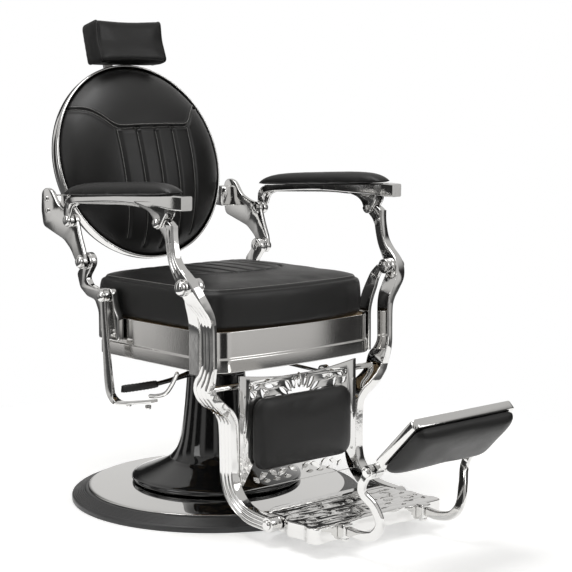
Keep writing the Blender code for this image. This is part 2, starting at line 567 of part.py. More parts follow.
# ---- Legrest: side castings, calf panel, footplate and flip-over rest ----
FOOT_PIVOT = (-0.425, 0.048)
for side, sign in SIDES:
    path = smooth_path([
        (0.3165, -0.2400, 0.6900, 0.0180, 0.026), (0.3165, -0.2400, 0.6600, 0.0180, 0.028),
        (0.3170, -0.2490, 0.6200, 0.0190, 0.028), (0.3165, -0.2650, 0.5930, 0.0210, 0.032),
        (0.3130, -0.2890, 0.5650, 0.0235, 0.042), (0.3050, -0.3010, 0.5400, 0.0240, 0.046),
        (0.2900, -0.3040, 0.5180, 0.0235, 0.044), (0.2755, -0.3045, 0.4950, 0.0200, 0.042),
        (0.2690, -0.3045, 0.4700, 0.0170, 0.040), (0.2680, -0.3050, 0.4250, 0.0165, 0.039),
        (0.2680, -0.3045, 0.3850, 0.0165, 0.040), (0.2675, -0.2960, 0.3580, 0.0190, 0.046),
        (0.2660, -0.2850, 0.3380, 0.0220, 0.054), (0.2610, -0.2835, 0.3200, 0.0230, 0.054),
        (0.2480, -0.2840, 0.3030, 0.0240, 0.052), (0.2300, -0.2835, 0.2890, 0.0250, 0.050),
        (0.2100, -0.2815, 0.2740, 0.0255, 0.047), (0.1965, -0.2800, 0.2540, 0.0260, 0.045),
        (0.1925, -0.2790, 0.2250, 0.0260, 0.043), (0.1915, -0.2790, 0.1700, 0.0260, 0.0425),
        (0.1915, -0.2810, 0.1250, 0.0260, 0.042), (0.1915, -0.2930, 0.0930, 0.0260, 0.041),
        (0.1920, -0.3220, 0.0660, 0.0255, 0.038), (0.1930, -0.3600, 0.0520, 0.0250, 0.035),
        (0.1945, -0.4200, 0.0480, 0.0250, 0.032)], 2)
    path = [(sign * x, y, z, width, depth) for x, y, z, width, depth in path]
    casting = piece("leg_casting_" + side, skinned_mesh(swept_rows(path)), "chrome", LEGREST)
    join(casting, extruded_mesh(
        arc(ARM_FRONT_PIVOT, 0.0110, -80, 100, 8)
        + [(-0.2340, 0.7000), (-0.2500, 0.6900), (-0.2520, 0.6500), (-0.2300, 0.6500),
           (-0.2200, 0.6680)],
        *mirrored(ARM_CENTRE_FRONT - TONGUE_HALF, ARM_CENTRE_FRONT + TONGUE_HALF, sign)), "tongue")
    cut(casting, rod_mesh(KNEE_PIVOT, 0.0185, *mirrored(0.2500, KNEE_OUTER + 0.0006, sign), 24),
        "lug_clearance")
    join(casting, rod_mesh(KNEE_PIVOT, 0.0190, *mirrored(KNEE_OUTER + 0.0007, 0.3300, sign), 24),
         "knee_eye")
    join(casting, rod_mesh(FOOT_PIVOT, 0.0170, *mirrored(0.1820, 0.2080, sign)), "foot_eye")
    bore(casting, ARM_FRONT_PIVOT, 0.0053, -0.4, 0.4)
    bore(casting, KNEE_PIVOT, 0.0071, -0.4, 0.4)
    bore(casting, FOOT_PIVOT, 0.0063, -0.4, 0.4)
    bore(casting, CROSSBAR, 0.0073, -CROSSBAR_HALF - GAP, CROSSBAR_HALF + GAP)
    domed_pin("arm_front_pin_" + side, sign, ARM_FRONT_PIVOT, ARM_CENTRE_FRONT - EAR_OUTER,
              ARM_CENTRE_FRONT + EAR_OUTER, 0.0050, 0.0105, LEGREST)

panel_top = [(0.178 - 0.356 * k / 10, 0.352 - 0.016 * math.sin(math.pi * k / 10)) for k in range(11)]
piece("calf_panel", extruded_mesh(panel_top + [(-0.178, 0.090), (0.178, 0.090)],
                                  CALF_PLANE, CALF_PLANE + 0.005, "Y"), "chrome", LEGREST)
piece("leg_crossbar", rod_mesh(CROSSBAR, 0.007, -CROSSBAR_HALF, CROSSBAR_HALF), "chrome", LEGREST)


def rounded_rectangle(half_width, low, high, radius, steps=4):
    return (arc((half_width - radius, low + radius), radius, -90, 0, steps)
            + arc((half_width - radius, high - radius), radius, 0, 90, steps)
            + arc((radius - half_width, high - radius), radius, 90, 180, steps)
            + arc((radius - half_width, low + radius), radius, 180, 270, steps))


piece("calf_pad", skinned_mesh([
    [(x, y, z) for x, z in rounded_rectangle(0.147 - inset, 0.133 + inset, 0.299 - inset, 0.030)]
    for inset, y in ((0.004, CALF_PLANE - GAP), (0, CALF_PLANE - 0.006), (0.001, CALF_PLANE - 0.018),
                     (0.010, CALF_PLANE - 0.026), (0.030, CALF_PLANE - 0.030))]),
    "black_leather", LEGREST)

FOOT_REAR, FOOT_FRONT = -0.366, -0.565


def foot_outline(inset=0.0):
    """The footplate's plan: lobed front corners, and narrow where the leg castings pass."""
    half = [(0.142 - inset, FOOT_REAR - inset), (0.1785 - inset, -0.392 - inset * 0.6),
            (0.1785 - inset, -0.450), (0.192 - inset, -0.470), (0.186 - inset, -0.520),
            (0.196 - inset, -0.540), (0.190 - inset, FOOT_FRONT + inset), (0.095, FOOT_FRONT + inset),
            (0.060, FOOT_FRONT + 0.008 + inset)]
    return half + [(-x, y) for x, y in reversed(half)]


footplate = piece("footplate", extruded_mesh(foot_outline(), FOOT_BOTTOM, FOOT_TOP, "Z"),
                  "chrome", LEGREST)
cut(footplate, extruded_mesh(foot_outline(0.010), FOOT_BOTTOM - 0.01, FOOT_TOP - 0.007, "Z"), "underside")
bore(footplate, FOOT_PIVOT, 0.0063, -0.4, 0.4)
piece("footplate_rod", turned_mesh([
    (0, -0.2150), (0.008, -0.2150), (0.011, -0.2125), (0.011, -0.2085), (0.006, -0.2085),
    (0.006, 0.2085), (0.011, 0.2085), (0.011, 0.2125), (0.008, 0.2150), (0, 0.2150)], 16,
    frame=along_x(0, *FOOT_PIVOT)), "chrome", LEGREST)

for side, sign in SIDES:
    low, high = mirrored(0.1070, 0.1330, sign)
    piece("flip_clamp_" + side, box_mesh((low, -0.5870, 0.0365), (high, FOOT_FRONT - GAP, 0.0680)),
          "chrome", LEGREST)
    path = smooth_path([
        (0.1200, -0.5882, 0.0520, 0.013, 0.021), (0.1200, -0.6250, 0.0505, 0.013, 0.021),
        (0.1205, -0.6620, 0.0600, 0.013, 0.021), (0.1230, -0.6830, 0.0880, 0.013, 0.021),
        (0.1360, -0.6780, 0.1270, 0.013, 0.021), (0.1540, -0.6640, 0.1550, 0.013, 0.020),
        (0.1590, -0.6660, 0.1750, 0.012, 0.020), (0.1580, -0.6780, 0.1960, 0.011, 0.020)], 2)
    path = [(sign * x, y, z, width, depth) for x, y, z, width, depth in path]
    arm = piece("flip_arm_" + side, skinned_mesh(swept_rows(path)), "chrome", LEGREST)
    join(arm, rod_mesh(FLIP_PIVOT, 0.0155, *mirrored(0.1520, 0.1635, sign)), "eye")
    bore(arm, FLIP_PIVOT, 0.0063, -0.4, 0.4)
piece("flip_shaft", turned_mesh([
    (0, -0.1700), (0.007, -0.1700), (0.010, -0.1680), (0.010, -0.1640), (0.006, -0.1640),
    (0.006, 0.1640), (0.010, 0.1640), (0.010, 0.1680), (0.007, 0.1700), (0, 0.1700)], 16,
    frame=along_x(0, *FLIP_PIVOT)), "chrome", LEGREST)


def board_point(x, out, proud):
    """A point of the flip-over board: out from its hinge, and proud of its padded side."""
    along = Vector((0, -math.cos(BOARD_TILT), math.sin(BOARD_TILT)))
    face = Vector((0, -math.sin(BOARD_TILT), -math.cos(BOARD_TILT)))
    return Vector((x, *FLIP_PIVOT)) + out * along + proud * face


TRAY_HALF = 0.0105
tray = piece("flip_tray", skinned_mesh([
    [board_point(x, out, proud) for x, out in rounded_rectangle(0.1505, 0.020, 0.169, 0.010, 2)]
    for proud in (-TRAY_HALF, TRAY_HALF)]), "chrome", FLIP)
for side, sign in SIDES:
    low, high = mirrored(0.1280, 0.1500, sign)
    join(tray, rod_mesh(FLIP_PIVOT, 0.0150, low, high), "eye_" + side)
    join(tray, skinned_mesh([[board_point(x, out, proud) for x, out in (
        (low, 0), (high, 0), (high, 0.030), (low, 0.030))] for proud in (-0.0085, 0.0085)]), "web_" + side)
bore(tray, FLIP_PIVOT, 0.0063, -0.4, 0.4)
piece("flip_pad", skinned_mesh([
    [board_point(x, out, proud) for x, out in rounded_rectangle(
        0.147 - inset, 0.024 + inset, 0.166 - inset, 0.016, 3)]
    for inset, proud in ((0.003, TRAY_HALF + GAP), (0, 0.016), (0.004, 0.028), (0.014, 0.036),
                         (0.034, 0.040))]), "black_leather", FLIP)

# ---- Pump lever: forged shaft on a hub, with a rubber grip ----
pump = piece("pump_lever", turned_mesh([
    (0, -0.0230), (0.0052, -0.0230), (0.0052, -0.0150), (0.0135, -0.0150), (0.0135, 0.0150),
    (0.0052, 0.0150), (0.0052, 0.0230), (0, 0.0230)], 20, frame=PUMP_FRAME), "black_enamel", PUMP)
join(pump, skinned_mesh(swept_rows(smooth_path([
    (-0.0960, -0.0400, 0.3175, 0.018, 0.014), (-0.1250, -0.0380, 0.3130, 0.015, 0.011),
    (-0.1550, -0.0260, 0.3040, 0.014, 0.010), (-0.1840, -0.0100, 0.2960, 0.014, 0.010)], 2))), "shaft")
GRIP_PATH = [(-0.1845, -0.0097, 0.2959), (-0.1900, -0.0060, 0.2948), (-0.2200, 0.0130, 0.2900),
             (-0.2500, 0.0330, 0.2860), (-0.2550, 0.0365, 0.2855)]
GRIP_SIZES = ((0.022, 0.013), (0.026, 0.017), (0.028, 0.018), (0.028, 0.018), (0.022, 0.012))
piece("pump_grip", skinned_mesh(swept_rows([
    (*place, *size) for place, size in zip(GRIP_PATH, GRIP_SIZES)])), "black_rubber", PUMP)

# ---- Recline lever: flat hanging bar with a foot, and the rod that works the lock ----
lever = piece("recline_lever", skinned_mesh(swept_rows(smooth_path([
    (-0.2825, 0.0640, 0.5040, 0.0080, 0.020), (-0.2825, 0.0620, 0.4600, 0.0080, 0.020),
    (-0.2830, 0.0540, 0.3800, 0.0075, 0.024), (-0.2835, 0.0440, 0.3000, 0.0075, 0.030),
    (-0.2830, 0.0340, 0.2720, 0.0120, 0.020), (-0.2780, 0.0140, 0.2600, 0.0240, 0.008),
    (-0.2640, -0.0300, 0.2650, 0.0260, 0.007), (-0.2510, -0.0850, 0.2750, 0.0240, 0.007)], 2))),
    "chrome", LEVER)
join(lever, rod_mesh(LEVER_PIVOT, 0.0150, -0.2865, -0.2740), "eye")
bore(lever, LEVER_PIVOT, 0.0056, -0.4, 0.4)
lever_lug = bpy.data.objects["back_lug_right"]
join(lever_lug, turned_mesh([
    (0, -0.2975), (0.006, -0.2965), (0.0115, -0.2935), (0.0130, -0.2905), (0.0130, -0.2872),
    (0.0052, -0.2872), (0.0052, -0.2620), (0, -0.2620)], 20, frame=along_x(0, *LEVER_PIVOT)), "lever_stud")
piece("recline_rod", skinned_mesh(tube_rows(smooth_path([
    (-0.2530, -0.0700, 0.2845), (-0.2525, -0.0950, 0.2880), (-0.2500, -0.1250, 0.2980),
    (-0.2470, -0.1450, 0.3200), (-0.2440, -0.1620, 0.3500)], 3), 0.0048)), "chrome", LEVER)

# ---- Lock strut under the seat: body hung from the frame, rod on the legrest's crossbar ----
STRUT_REAR, STRUT_FRONT = Vector((0.100, 0.100, 0.335)), Vector((0.100, *CROSSBAR))
strut_run = (STRUT_FRONT - STRUT_REAR).normalized()


def strut_frame(distance):
    turn = strut_run.to_track_quat("Z", "X").to_matrix().to_4x4()
    return Matrix.Translation(STRUT_REAR + strut_run * distance) @ turn


piece("strut_body", turned_mesh([
    (0, -0.012), (0.008, -0.010), (0.0105, -0.004), (0.0105, 0.226), (0.0085, 0.230),
    (0.0048, 0.230), (0.0048, 0.060), (0, 0.060)], 20, frame=strut_frame(0)), "black_enamel", STRUT)
rod = piece("strut_rod", turned_mesh([(0, 0.070), (0.0042, 0.070), (0.0042, 0.361), (0, 0.361)],
                                     16, frame=strut_frame(0)), "chrome", STRUT_ROD)


def slot_outline(radius, half_straight):
    """An upright slot round the crossbar, as (y, z) points."""
    top = arc((CROSSBAR[0], CROSSBAR[1] + half_straight), radius, 0, 180, 6)
    return top + arc((CROSSBAR[0], CROSSBAR[1] - half_straight), radius, 180, 360, 6)


join(rod, extruded_mesh(slot_outline(0.0135, 0.0040), 0.0930, 0.1070), "eye")
cut(rod, extruded_mesh(slot_outline(0.0098, 0.0040), 0.05, 0.15), "eye_slot")
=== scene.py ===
"""Looks for a hydraulic barber chair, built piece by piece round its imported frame.

The front faces -Y, the sitter's right is -X and +Z is up, in metres.
"""

import math

import bmesh
import bpy
import numpy as np
from mathutils import Matrix, Vector
from mathutils.bvhtree import BVHTree


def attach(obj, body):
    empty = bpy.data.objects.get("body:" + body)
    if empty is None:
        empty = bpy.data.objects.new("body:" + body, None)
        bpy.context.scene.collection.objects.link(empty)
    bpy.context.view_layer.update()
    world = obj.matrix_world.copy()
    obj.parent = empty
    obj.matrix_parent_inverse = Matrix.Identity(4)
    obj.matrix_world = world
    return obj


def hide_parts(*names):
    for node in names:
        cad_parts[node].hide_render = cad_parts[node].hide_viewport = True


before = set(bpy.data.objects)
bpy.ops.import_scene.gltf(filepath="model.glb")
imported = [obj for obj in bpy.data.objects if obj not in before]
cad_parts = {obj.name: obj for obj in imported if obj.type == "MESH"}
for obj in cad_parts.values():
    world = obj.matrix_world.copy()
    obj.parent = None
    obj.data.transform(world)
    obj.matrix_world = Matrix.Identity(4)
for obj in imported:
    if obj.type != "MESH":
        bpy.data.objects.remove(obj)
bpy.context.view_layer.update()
SIDES = (("right", -1), ("left", 1))

# ---- Studio: camera, pale floor and soft lights ----
# A small round white floor stands in a bright room. The room is pale with a few dark
# drapes, which give bright metal something to reflect.
def linked(name, data):
    """A new object that holds this data, put in the scene."""
    obj = bpy.data.objects.new(name, data)
    bpy.context.scene.collection.objects.link(obj)
    return obj


def mesh_of(name, bm):
    """A new mesh of what was built, which is then freed."""
    mesh = bpy.data.meshes.new(name)
    bm.to_mesh(mesh)
    bm.free()
    return mesh


view_from = Vector((-2.408, -2.953, 0.993))
view_along = Vector((0.660, 0.740, -0.126))
camera_data = bpy.data.cameras.new("portrait_camera")
camera_data.lens = 100.7
camera_data.sensor_width = 36
camera = linked("portrait_camera", camera_data)
camera.location = view_from
camera.rotation_euler = view_along.to_track_quat("-Z", "Y").to_euler()
bpy.context.scene.camera = camera
bpy.context.scene.view_settings.view_transform = "Standard"


def soft_light(name, place, towards, size, power):
    """A rectangular light of a size in metres and a power in watts."""
    data = bpy.data.lights.new(name, "AREA")
    data.shape = "RECTANGLE"
    data.size, data.size_y = size
    data.energy = power
    lamp = linked(name, data)
    lamp.location = place
    lamp.rotation_euler = (Vector(towards) - Vector(place)).to_track_quat("-Z", "Y").to_euler()


soft_light("overhead_softbox", (-0.6, 0.1, 3.0), (0, 0, 0.6), (1.6, 1.6), 34)
soft_light("front_softbox", (1.5, -2.9, 2.0), (0, 0, 0.5), (1.2, 1.6), 16)
soft_light("side_softbox", (-3.0, 0.6, 1.7), (0, 0, 0.6), (1.0, 1.6), 12)

room = bpy.data.worlds.new("pale_room")
bpy.context.scene.world = room
room.use_nodes = True
room_nodes, room_links = room.node_tree.nodes, room.node_tree.links
background = room_nodes["Background"]
looking = room_nodes.new("ShaderNodeTexCoord")
split = room_nodes.new("ShaderNodeSeparateXYZ")
room_links.new(looking.outputs["Generated"], split.inputs[0])
heading = room_nodes.new("ShaderNodeMath")
heading.operation = "ARCTAN2"
room_links.new(split.outputs["Y"], heading.inputs[0])
room_links.new(split.outputs["X"], heading.inputs[1])
turn = room_nodes.new("ShaderNodeMapRange")
turn.inputs["From Min"].default_value = -math.pi
turn.inputs["From Max"].default_value = math.pi
room_links.new(heading.outputs[0], turn.inputs["Value"])
drapes = room_nodes.new("ShaderNodeValToRGB")
# Share of a full turn, starting at -X and going by -Y, +X and +Y, with how pale the room is.
DRAPES = [(0.0, 0.66), (0.03, 0.66), (0.045, 0.03), (0.11, 0.02), (0.12, 0.70), (0.17, 0.70),
          (0.18, 0.03), (0.26, 0.02), (0.27, 0.72), (0.30, 0.70), (0.34, 0.64), (0.378, 0.64),
          (0.385, 0.03), (0.53, 0.02), (0.54, 0.60), (0.60, 0.70), (0.665, 0.68), (0.675, 0.03),
          (0.735, 0.02), (0.745, 0.66), (0.77, 0.66), (0.78, 0.03), (0.815, 0.03), (0.825, 0.70),
          (0.8575, 0.68), (0.8605, 0.03), (0.905, 0.03), (0.915, 0.68), (0.935, 0.68),
          (0.945, 0.04), (0.985, 0.04), (1.0, 0.66)]
ramp = drapes.color_ramp
while len(ramp.elements) < len(DRAPES):
    ramp.elements.new(0.5)
for stop, (place, pale) in zip(ramp.elements, DRAPES):
    stop.position = place
for stop, (place, pale) in zip(ramp.elements, DRAPES):
    stop.color = (pale, pale * 0.99, pale * 0.975, 1)
room_links.new(turn.outputs["Result"], drapes.inputs["Fac"])


def rising(low, high):
    """How far the height of the line of sight has gone from one value to another."""
    node = room_nodes.new("ShaderNodeMapRange")
    node.interpolation_type = "SMOOTHSTEP"
    node.inputs["From Min"].default_value = low
    node.inputs["From Max"].default_value = high
    room_links.new(split.outputs["Z"], node.inputs["Value"])
    return node.outputs["Result"]


def giving_way(factor, first, colour):
    """One colour of the room giving way to a plain colour."""
    node = room_nodes.new("ShaderNodeMix")
    node.data_type = "RGBA"
    node.inputs["B"].default_value = (*colour, 1)
    room_links.new(factor, node.inputs["Factor"])
    room_links.new(first, node.inputs["A"])
    return node.outputs["Result"]


CEILING, CELLAR = (0.58, 0.575, 0.565), (0.10, 0.10, 0.10)
walls = giving_way(rising(0.30, 0.62), drapes.outputs["Color"], CEILING)
walls = giving_way(rising(-0.04, -0.30), walls, CELLAR)
seen = room_nodes.new("ShaderNodeLightPath")
room_links.new(giving_way(seen.outputs["Is Camera Ray"], walls, (1, 1, 1)),
               background.inputs["Color"])

FLOOR_RADIUS, FLOOR_GLOW = 1.25, 0.34
floor_bm = bmesh.new()
bmesh.ops.create_circle(floor_bm, cap_ends=True, radius=FLOOR_RADIUS, segments=96)
floor = linked("studio_floor", mesh_of("studio_floor", floor_bm))
floor.location.z = -0.0005
floor_paint = bpy.data.materials.new("white_floor")
floor_paint.use_nodes = True
floor_shader = floor_paint.node_tree.nodes["Principled BSDF"]
floor_shader.inputs["Base Color"].default_value = (0.93, 0.93, 0.925, 1)
floor_shader.inputs["Roughness"].default_value = 0.75
floor_shader.inputs["Emission Color"].default_value = (1, 1, 1, 1)
floor_shader.inputs["Emission Strength"].default_value = FLOOR_GLOW
floor.data.materials.append(floor_paint)


# ---- Floor ring ----
# A moulded black ring, ridged like a record, that keeps the plate off the floor. It is
# pushed up round the plate's edge.
def fillet(points, radius, steps=4, closed=False):
    """A path of 2-D points with its corners rounded."""
    rounded_path = []
    count = len(points)
    for i, point in enumerate(points):
        if not closed and i in (0, count - 1):
            rounded_path.append(tuple(point))
            continue
        here = Vector(point)
        back, on = Vector(points[i - 1]) - here, Vector(points[(i + 1) % count]) - here
        reach = min(radius, back.length * 0.45, on.length * 0.45)
        start, end = here + back.normalized() * reach, here + on.normalized() * reach
        for k in range(steps + 1):
            t = k / steps
            rounded_path.append(tuple((1 - t) ** 2 * start + 2 * t * (1 - t) * here + t * t * end))
    return rounded_path


def smooth_path(points, steps):
    """Stations on a smooth curve through the points, whatever numbers each point holds."""
    ends = [points[0]] + list(points) + [points[-1]]
    path = []
    for before, start, end, after in zip(ends, ends[1:], ends[2:], ends[3:]):
        for step in range(steps):
            t = step / steps
            path.append(tuple(
                0.5 * (2 * b + (c - a) * t + (2 * a - 5 * b + 4 * c - d) * t * t
                       + (3 * b - a - 3 * c + d) * t ** 3)
                for a, b, c, d in zip(before, start, end, after)))
    path.append(tuple(points[-1]))
    return path


def skin(bm, rows, closed_path=False):
    """Adds rows of points, each a closed loop, joined one to the next."""
    loops = [[bm.verts.new(point) for point in row] for row in rows]
    pairs = list(zip(loops, loops[1:]))
    if closed_path:
        pairs.append((loops[-1], loops[0]))
    else:
        bm.faces.new(loops[0])
        bm.faces.new(loops[-1])
    for first, second in pairs:
        for i in range(len(first)):
            j = (i + 1) % len(first)
            bm.faces.new((first[i], first[j], second[j], second[i]))
    return bm


def lathe(bm, profile, steps=96, placing=None, ring=False):
    """Adds a profile of (radius, height) turned about +Z, then placed."""
    rows = []
    for k in range(steps):
        angle = math.tau * k / steps
        row = [Vector((r * math.cos(angle), r * math.sin(angle), h)) for r, h in profile]
        rows.append([placing @ point for point in row] if placing else row)
    made = [[bm.verts.new(point) for point in row] for row in rows]
    last = len(profile) if ring else len(profile) - 1
    for i in range(steps):
        first, second = made[i], made[(i + 1) % steps]
        for k in range(last):
            bm.faces.new((first[k], second[k], second[(k + 1) % len(profile)],
                          first[(k + 1) % len(profile)]))
    return bm


def finished(name, bm, material, body, *nodes, sharp=32):
    """Turns a mesh into a piece: closed, smooth, riding on its body, in place of CAD nodes."""
    bmesh.ops.remove_doubles(bm, verts=bm.verts, dist=2e-6)
    bmesh.ops.dissolve_degenerate(bm, edges=bm.edges, dist=1e-7)
    bmesh.ops.recalc_face_normals(bm, faces=bm.faces)
    mesh = mesh_of(name, bm)
    mesh.shade_smooth()
    mesh.set_sharp_from_angle(angle=math.radians(sharp))
    mesh.materials.append(material)
    obj = linked(name, mesh)
    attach(obj, body)
    if nodes:
        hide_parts(*nodes)
    return obj


def new_group(name, inputs, outputs):
    """An empty shader node group with named sockets, and its two end nodes."""
    group = bpy.data.node_groups.new(name, "ShaderNodeTree")
    for label, value in inputs:
        socket = group.interface.new_socket(label, in_out="INPUT", socket_type="NodeSocketFloat")
        socket.default_value = value
    for label in outputs:
        group.interface.new_socket(label, in_out="OUTPUT", socket_type="NodeSocketFloat")
    return group, group.nodes.new("NodeGroupInput"), group.nodes.new("NodeGroupOutput")


def mottle_group():
    """Slow and fine unevenness, such as smudges on metal and shading in hide."""
    group, entry, end = new_group("handled_mottle", [("Broad Scale", 6.0), ("Fine Scale", 90.0)],
                                  ["Broad", "Fine"])
    place = group.nodes.new("ShaderNodeTexCoord")
    for label, rough in (("Broad", 0.62), ("Fine", 0.5)):
        noise = group.nodes.new("ShaderNodeTexNoise")
        noise.inputs["Detail"].default_value = 4
        noise.inputs["Roughness"].default_value = rough
        group.links.new(place.outputs["Object"], noise.inputs["Vector"])
        group.links.new(entry.outputs[label + " Scale"], noise.inputs["Scale"])
        group.links.new(noise.outputs["Fac"], end.inputs[label])
    return group


MOTTLE = mottle_group()


def surface(name, colour, roughness, metallic=0.0, vary=0.0, tone=0.0, relief=0.0,
            broad=6.0, fine=90.0, relief_from="Broad", **sockets):
    """A finish whose roughness, tone and relief are mottled by the given amounts."""
    made = bpy.data.materials.new(name)
    made.use_nodes = True
    nodes, links = made.node_tree.nodes, made.node_tree.links
    shader = nodes["Principled BSDF"]
    shader.inputs["Base Color"].default_value = (*colour, 1)
    shader.inputs["Roughness"].default_value = roughness
    shader.inputs["Metallic"].default_value = metallic
    for label, value in sockets.items():
        shader.inputs[label.replace("_", " ").title().replace("Ior", "IOR")].default_value = value
    mottle = nodes.new("ShaderNodeGroup")
    mottle.node_tree = MOTTLE
    mottle.inputs["Broad Scale"].default_value = broad
    mottle.inputs["Fine Scale"].default_value = fine
    if vary:
        spread = nodes.new("ShaderNodeMapRange")
        spread.inputs["From Min"].default_value = 0.3
        spread.inputs["From Max"].default_value = 0.7
        spread.inputs["To Min"].default_value = max(0.02, roughness - vary)
        spread.inputs["To Max"].default_value = roughness + vary
        links.new(mottle.outputs["Broad"], spread.inputs["Value"])
        links.new(spread.outputs["Result"], shader.inputs["Roughness"])
    if tone:
        blend = nodes.new("ShaderNodeMix")
        blend.data_type = "RGBA"
        blend.inputs["A"].default_value = (*[c * (1 - tone) for c in colour], 1)
        blend.inputs["B"].default_value = (*[min(1, c * (1 + tone)) for c in colour], 1)
        links.new(mottle.outputs["Broad"], blend.inputs["Factor"])
        links.new(blend.outputs["Result"], shader.inputs["Base Color"])
    if relief:
        bump = nodes.new("ShaderNodeBump")
        bump.inputs["Distance"].default_value = relief
        links.new(mottle.outputs[relief_from], bump.inputs["Height"])
        links.new(bump.outputs["Normal"], shader.inputs["Normal"])
    return made


ring_rubber = surface("ring_rubber", (0.035, 0.035, 0.036), 0.36, vary=0.06, tone=0.25,
                      relief=0.00012, fine=700, relief_from="Fine")
RIDGES = 7
ridge_low, ridge_high = (0.3455, 0.0140), (0.3185, 0.0262)
ring_profile = [(0.290, 0.0), (0.3495, 0.0), (0.350, 0.0008), (0.350, 0.0095), (0.3490, 0.0118)]
for k in range(RIDGES * 8 + 1):
    t = k / (RIDGES * 8)
    ridge = 0.0005 * math.cos(math.tau * RIDGES * t)
    ring_profile.append((ridge_low[0] + (ridge_high[0] - ridge_low[0]) * t,
                         ridge_low[1] + (ridge_high[1] - ridge_low[1]) * t + ridge))
ring_profile += [(0.3160, 0.0274), (0.312, 0.0276), (0.290, 0.0275)]
finished("floor_ring", lathe(bmesh.new(), ring_profile, 192, ring=True), ring_rubber, "base",
         "base_floor_ring")

# ---- Base plate ----
# A dished steel plate, polished and plated, that carries the column. Its edge is rolled
# down over the ring.
mirror_chrome = surface("mirror_chrome", (0.80, 0.795, 0.785), 0.055, 1.0, vary=0.025, tone=0.02,
                        broad=9)
plate_curve = smooth_path([
    (0.3095, 0.0306), (0.300, 0.0322), (0.270, 0.0350), (0.215, 0.0397), (0.150, 0.0428),
    (0.060, 0.0430), (0.0, 0.0430)], 8)
finished("dished_plate", lathe(bmesh.new(), [
    (0.0, 0.0), (0.2897, 0.0), (0.2897, 0.0278), (0.3100, 0.0278), (0.3105, 0.0284),
    (0.3105, 0.0298)] + plate_curve, 192), mirror_chrome, "base", "base_plate", sharp=50)

# ---- Bell and column ----
# Two black enamelled castings: a bell with a rolled lip that covers the bolts, and the
# trumpet-shaped column over the pump. They meet at a crease.
gloss_enamel = surface("gloss_enamel", (0.0065, 0.0065, 0.007), 0.07, vary=0.025, relief=0.00025,
                       broad=38, coat_weight=0.5, coat_roughness=0.03)
bell_top = smooth_path([(0.2000, 0.0562), (0.1930, 0.0600), (0.1700, 0.0686), (0.1450, 0.0785),
                        (0.1250, 0.0875), (0.1165, 0.0930), (0.1135, 0.0952)], 8)
lip = [(0.2005 + 0.0052 * math.sin(a), 0.0500 + 0.0062 * -math.cos(a))
       for a in (math.pi * k / 10 for k in range(11))]
finished("column_bell", lathe(bmesh.new(), [
    (0.1925, 0.0432)] + lip[:-1] + bell_top + [(0.109, 0.0950), (0.147, 0.0710),
                                               (0.186, 0.0560), (0.1925, 0.0500)],
    160, ring=True), gloss_enamel, "base", "base_bell", sharp=45)
column_wall = smooth_path([(0.1125, 0.0955), (0.0985, 0.114), (0.089, 0.140), (0.083, 0.175),
                           (0.0755, 0.235), (0.070, 0.300)], 10)
finished("trumpet_column", lathe(bmesh.new(), column_wall + [
    (r - 0.0045, h) for r, h in reversed(column_wall)], 128, ring=True), gloss_enamel, "base",
    "column_cover")
gland_profile = fillet([(0.0284, 0.2885), (0.0640, 0.2885), (0.0640, 0.3005), (0.0700, 0.3005),
                        (0.0700, 0.3055), (0.0284, 0.3055)], 0.0012, 3, closed=True)
finished("column_gland", lathe(bmesh.new(), gland_profile, 96, ring=True), gloss_enamel, "base",
         "cylinder_gland")

# ---- Pump cylinder, ram and swivel ----
# A ground steel cylinder holds the oil. The plated ram rises out of it and ends in a
# flange and a spigot, on which the seat turns over a bearing ring.
ground_steel = surface("ground_steel", (0.46, 0.455, 0.45), 0.24, 1.0, vary=0.06, tone=0.12,
                       broad=14)
finished("oil_cylinder", lathe(bmesh.new(), fillet([
    (0.0285, 0.0435), (0.048, 0.0435), (0.048, 0.288), (0.0285, 0.288)], 0.001, 3, True),
    96, ring=True), ground_steel, "base", "pump_cylinder")
finished("plated_ram", lathe(bmesh.new(), fillet([
    (0, 0.100), (0.0278, 0.100), (0.0278, 0.308), (0.050, 0.308), (0.050, 0.3165),
    (0.018, 0.3165), (0.018, 0.350), (0, 0.350)], 0.0012, 3), 96), mirror_chrome, "lift",
    "lift_ram")
finished("bearing_ring", lathe(bmesh.new(), fillet([
    (0.0184, 0.3168), (0.048, 0.3168), (0.048, 0.3242), (0.0184, 0.3242)], 0.001, 3, True),
    96, ring=True), ground_steel, "lift", "swivel_bearing")
finished("turning_hub", lathe(bmesh.new(), fillet([
    (0.0184, 0.3246), (0.064, 0.3246), (0.064, 0.335), (0.078, 0.345), (0.078, 0.3592),
    (0.0184, 0.3592)], 0.0015, 3, True), 96, ring=True), gloss_enamel, "seat", "seat_hub")

# ---- Seat frame ----
# Welded black bars under the seat, with posts that hold the seat board and tabs for the
# pump lever and the lock strut.
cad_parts["under_frame"].data.materials.clear()
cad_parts["under_frame"].data.materials.append(gloss_enamel)

# ---- Seat apron ----
# A band of polished steel bent round the seat, with a rolled step near its lower edge.
band_steel = surface("band_steel", (0.66, 0.65, 0.635), 0.115, 1.0, vary=0.035, tone=0.03,
                     relief=0.00006, broad=4, fine=260, relief_from="Fine", anisotropic=0.35)
SEAT_HALF, SEAT_FRONT, SEAT_REAR = 0.249, -0.305, 0.135
APRON_LOW, APRON_HIGH = 0.362, 0.452


def arc(centre, radius, start, end, steps=16):
    """Points of an arc, with its angles in degrees."""
    return [(centre[0] + radius * math.cos(math.radians(start + (end - start) * k / steps)),
             centre[1] + radius * math.sin(math.radians(start + (end - start) * k / steps)))
            for k in range(steps + 1)]


